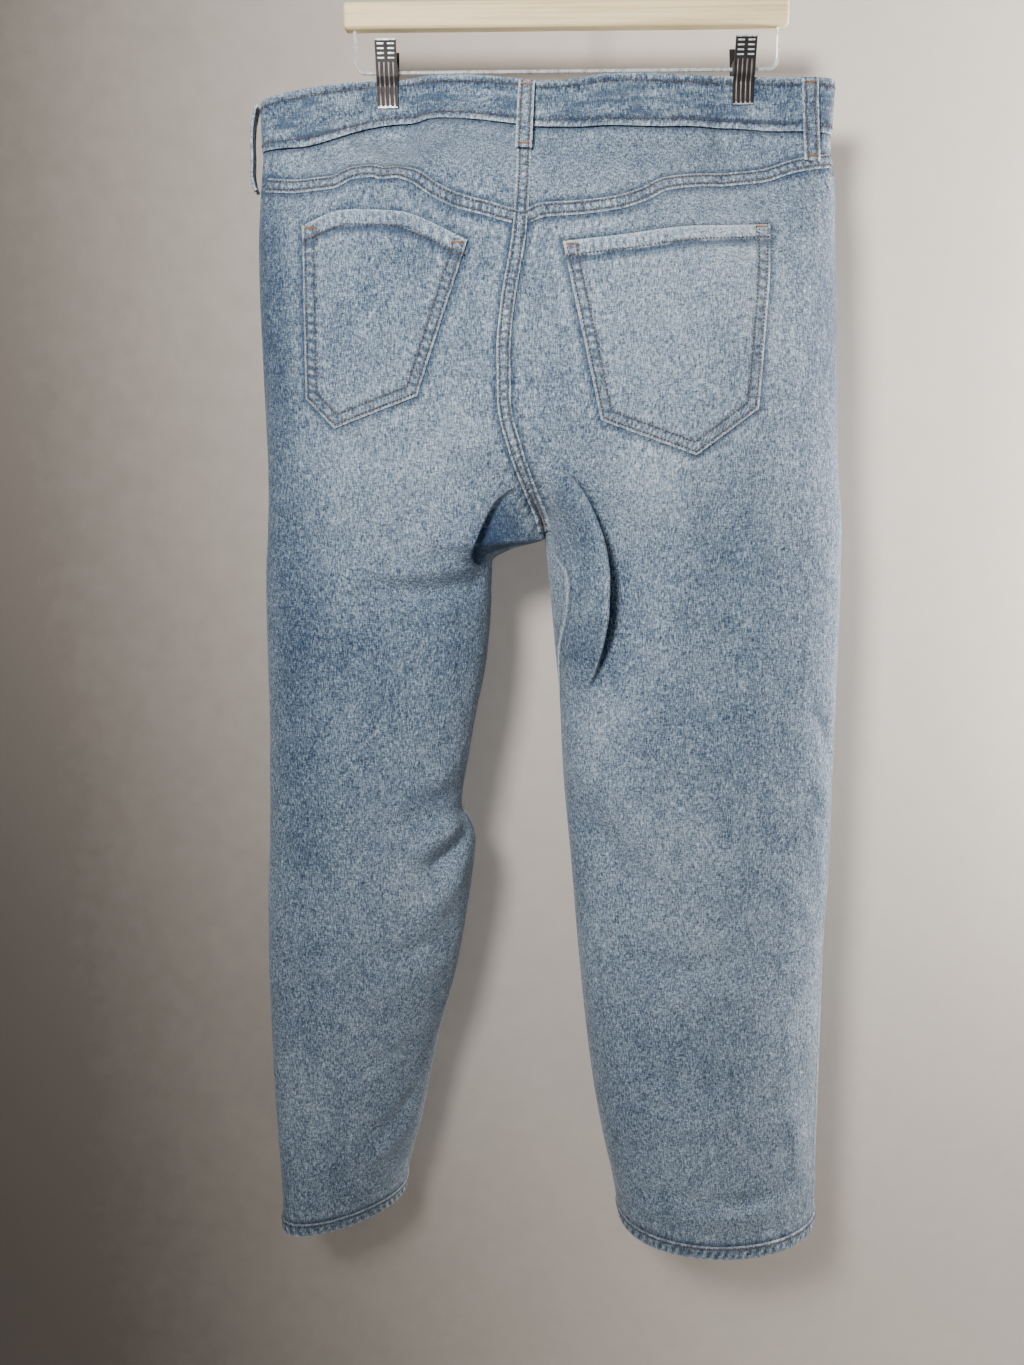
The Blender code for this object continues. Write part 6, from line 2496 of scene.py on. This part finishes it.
@dataclass(frozen=True)
class Lamp:
    """A soft panel light, or with a radius a round one that fades away from its aim."""

    name: str
    stands: tuple[float, float, float]
    aim: tuple[float, float, float]
    power: float
    colour: Colour
    size: tuple[float, float] = (0.0, 0.0)
    radius: float = 0.0
    angle: float = 110.0

    def build(self) -> None:
        """Puts the lamp in the scene. Its places and sizes are in millimetres."""
        lamp = bpy.data.lights.new(self.name, "SPOT" if self.radius else "AREA")
        lamp.energy, lamp.color = self.power, self.colour
        if self.radius:
            lamp.shadow_soft_size = self.radius * MM
            lamp.spot_size, lamp.spot_blend = math.radians(self.angle), 1.0
        else:
            lamp.shape = "RECTANGLE"
            lamp.size, lamp.size_y = self.size[0] * MM, self.size[1] * MM
        made = linked(self.name, lamp)
        made.location = Vector(self.stands) * MM
        way = Vector(self.aim) - Vector(self.stands)
        made.rotation_euler = way.to_track_quat("-Z", "Y").to_euler()


LAMPS = (
    Lamp("key", (-420, -1100, 20), (360, 90, -230), 92.0, (1.0, 0.985, 0.96), radius=150.0),
    Lamp("wash", (820, 50, -360), (430, 90, -360), 22.0, (1.0, 0.96, 0.91), (180, 900)),
    Lamp("fill", (0, -2600, 200), (0, 0, -500), 11.0, (0.95, 0.97, 1.0), (2600, 2600)),
    Lamp("far", (300, 2300, 300), (0, 0, -500), 30.0, (1.0, 0.99, 0.97), (1600, 1600)),
)


@dataclass
class Studio:
    """A pale wall close behind, its fall of light partly painted into its colour, a pale floor, soft
    lights and the photo's camera.

    The lens is given in rows of the photo's pixels.
    """

    wall_y: float = 90.0
    wall_top: float = 3000.0
    floor_z: float = -1600.0
    floor_front: float = -5000.0
    wide: float = 6000.0
    sensor: float = 36.0
    focal_rows: float = 1026.0
    picture_rows: float = 1365.0
    camera_at: tuple[float, float, float] = (-49.0, -900.0, -467.0)
    camera_tilt: float = 80.0
    camera_roll: float = 0.6

    def plane(self, name: str, points: Sequence[Sequence[float]],
              material: bpy.types.Material) -> None:
        """A flat stage piece.

        Args:
            name: The piece's name.
            points: Its four corners, in millimetres.
            material: Its material.
        """
        mesh = bpy.data.meshes.new(name)
        mesh.from_pydata([tuple(v * MM for v in p) for p in points], [], [(0, 1, 2, 3)])
        mesh.materials.append(material)
        piece = linked(name, mesh)
        piece.visible_shadow = False

    def world(self) -> None:
        """Fills the scene with a little even light."""
        world = bpy.data.worlds.new("studio")
        world.use_nodes = True
        even = world.node_tree.nodes["Background"].inputs
        even[0].default_value, even[1].default_value = (0.9, 0.95, 1.0, 1.0), 0.10
        bpy.context.scene.world = world

    def camera(self) -> None:
        """Stands the camera where the photo was taken from."""
        lens = bpy.data.cameras.new("photo_view")
        lens.sensor_fit = "VERTICAL"
        lens.sensor_height = lens.sensor_width = self.sensor
        lens.lens = self.focal_rows / self.picture_rows * self.sensor
        lens.clip_start, lens.clip_end = 0.01, 50.0
        camera = linked("photo_view", lens)
        tilt = Euler((math.radians(self.camera_tilt), 0.0, 0.0)).to_matrix()
        turn = tilt @ Matrix.Rotation(-math.radians(self.camera_roll), 3, "Z")
        camera.matrix_world = Matrix.Translation(Vector(self.camera_at) * MM) @ turn.to_4x4()
        bpy.context.scene.camera = camera

    def build(self) -> None:
        """Builds the stage, the lights and the camera."""
        # The wall's colour is painted light: dim at the left, bright at the right.
        wall = Plaster("wall_plaster", (0.235, 0.204, 0.178), (0.98, 0.885, 0.80)).build()
        floor = Plaster("pale_floor", (0.70, 0.68, 0.65), (0.74, 0.72, 0.69)).build()
        y, z, wide = self.wall_y, self.floor_z, self.wide
        top, front = self.wall_top, self.floor_front
        self.plane("backdrop", [(-wide, y, z), (wide, y, z), (wide, y, top), (-wide, y, top)],
                   wall)
        self.plane("floor", [(-wide, front, z), (wide, front, z), (wide, y, z), (-wide, y, z)],
                   floor)
        for lamp in LAMPS:
            lamp.build()
        self.world()
        self.camera()


def main() -> None:
    """Dresses the jeans and their hanger, then lights them."""
    logging.basicConfig(level=logging.INFO, format="%(name)s: %(message)s")
    finishes = Finishes.build()
    jeans = Jeans(finishes, Needle())
    for leg in SURFACES.values():
        Panel(leg, Face.BACK).dress(jeans)
        Panel(leg, Face.FRONT, rows=210, columns=72).dress(jeans)
        Yoke(leg).dress(jeans)
        Hem(leg).dress(jeans)
    Waistband().dress(jeans)
    for side in Side:
        PatchPocket(side).dress(jeans)
    for strip in seam_strips():
        strip.dress(jeans)
    for loop in LOOPS:
        loop.dress(jeans)
    FrontPieces().dress(jeans)
    dress_nodes(finishes)
    for name, x in (("clip_left", -144.0), ("clip_right", 142.0)):
        ClipTrim(name, x).dress(finishes)
    Studio().build()


if __name__ == "__main__":
    main()
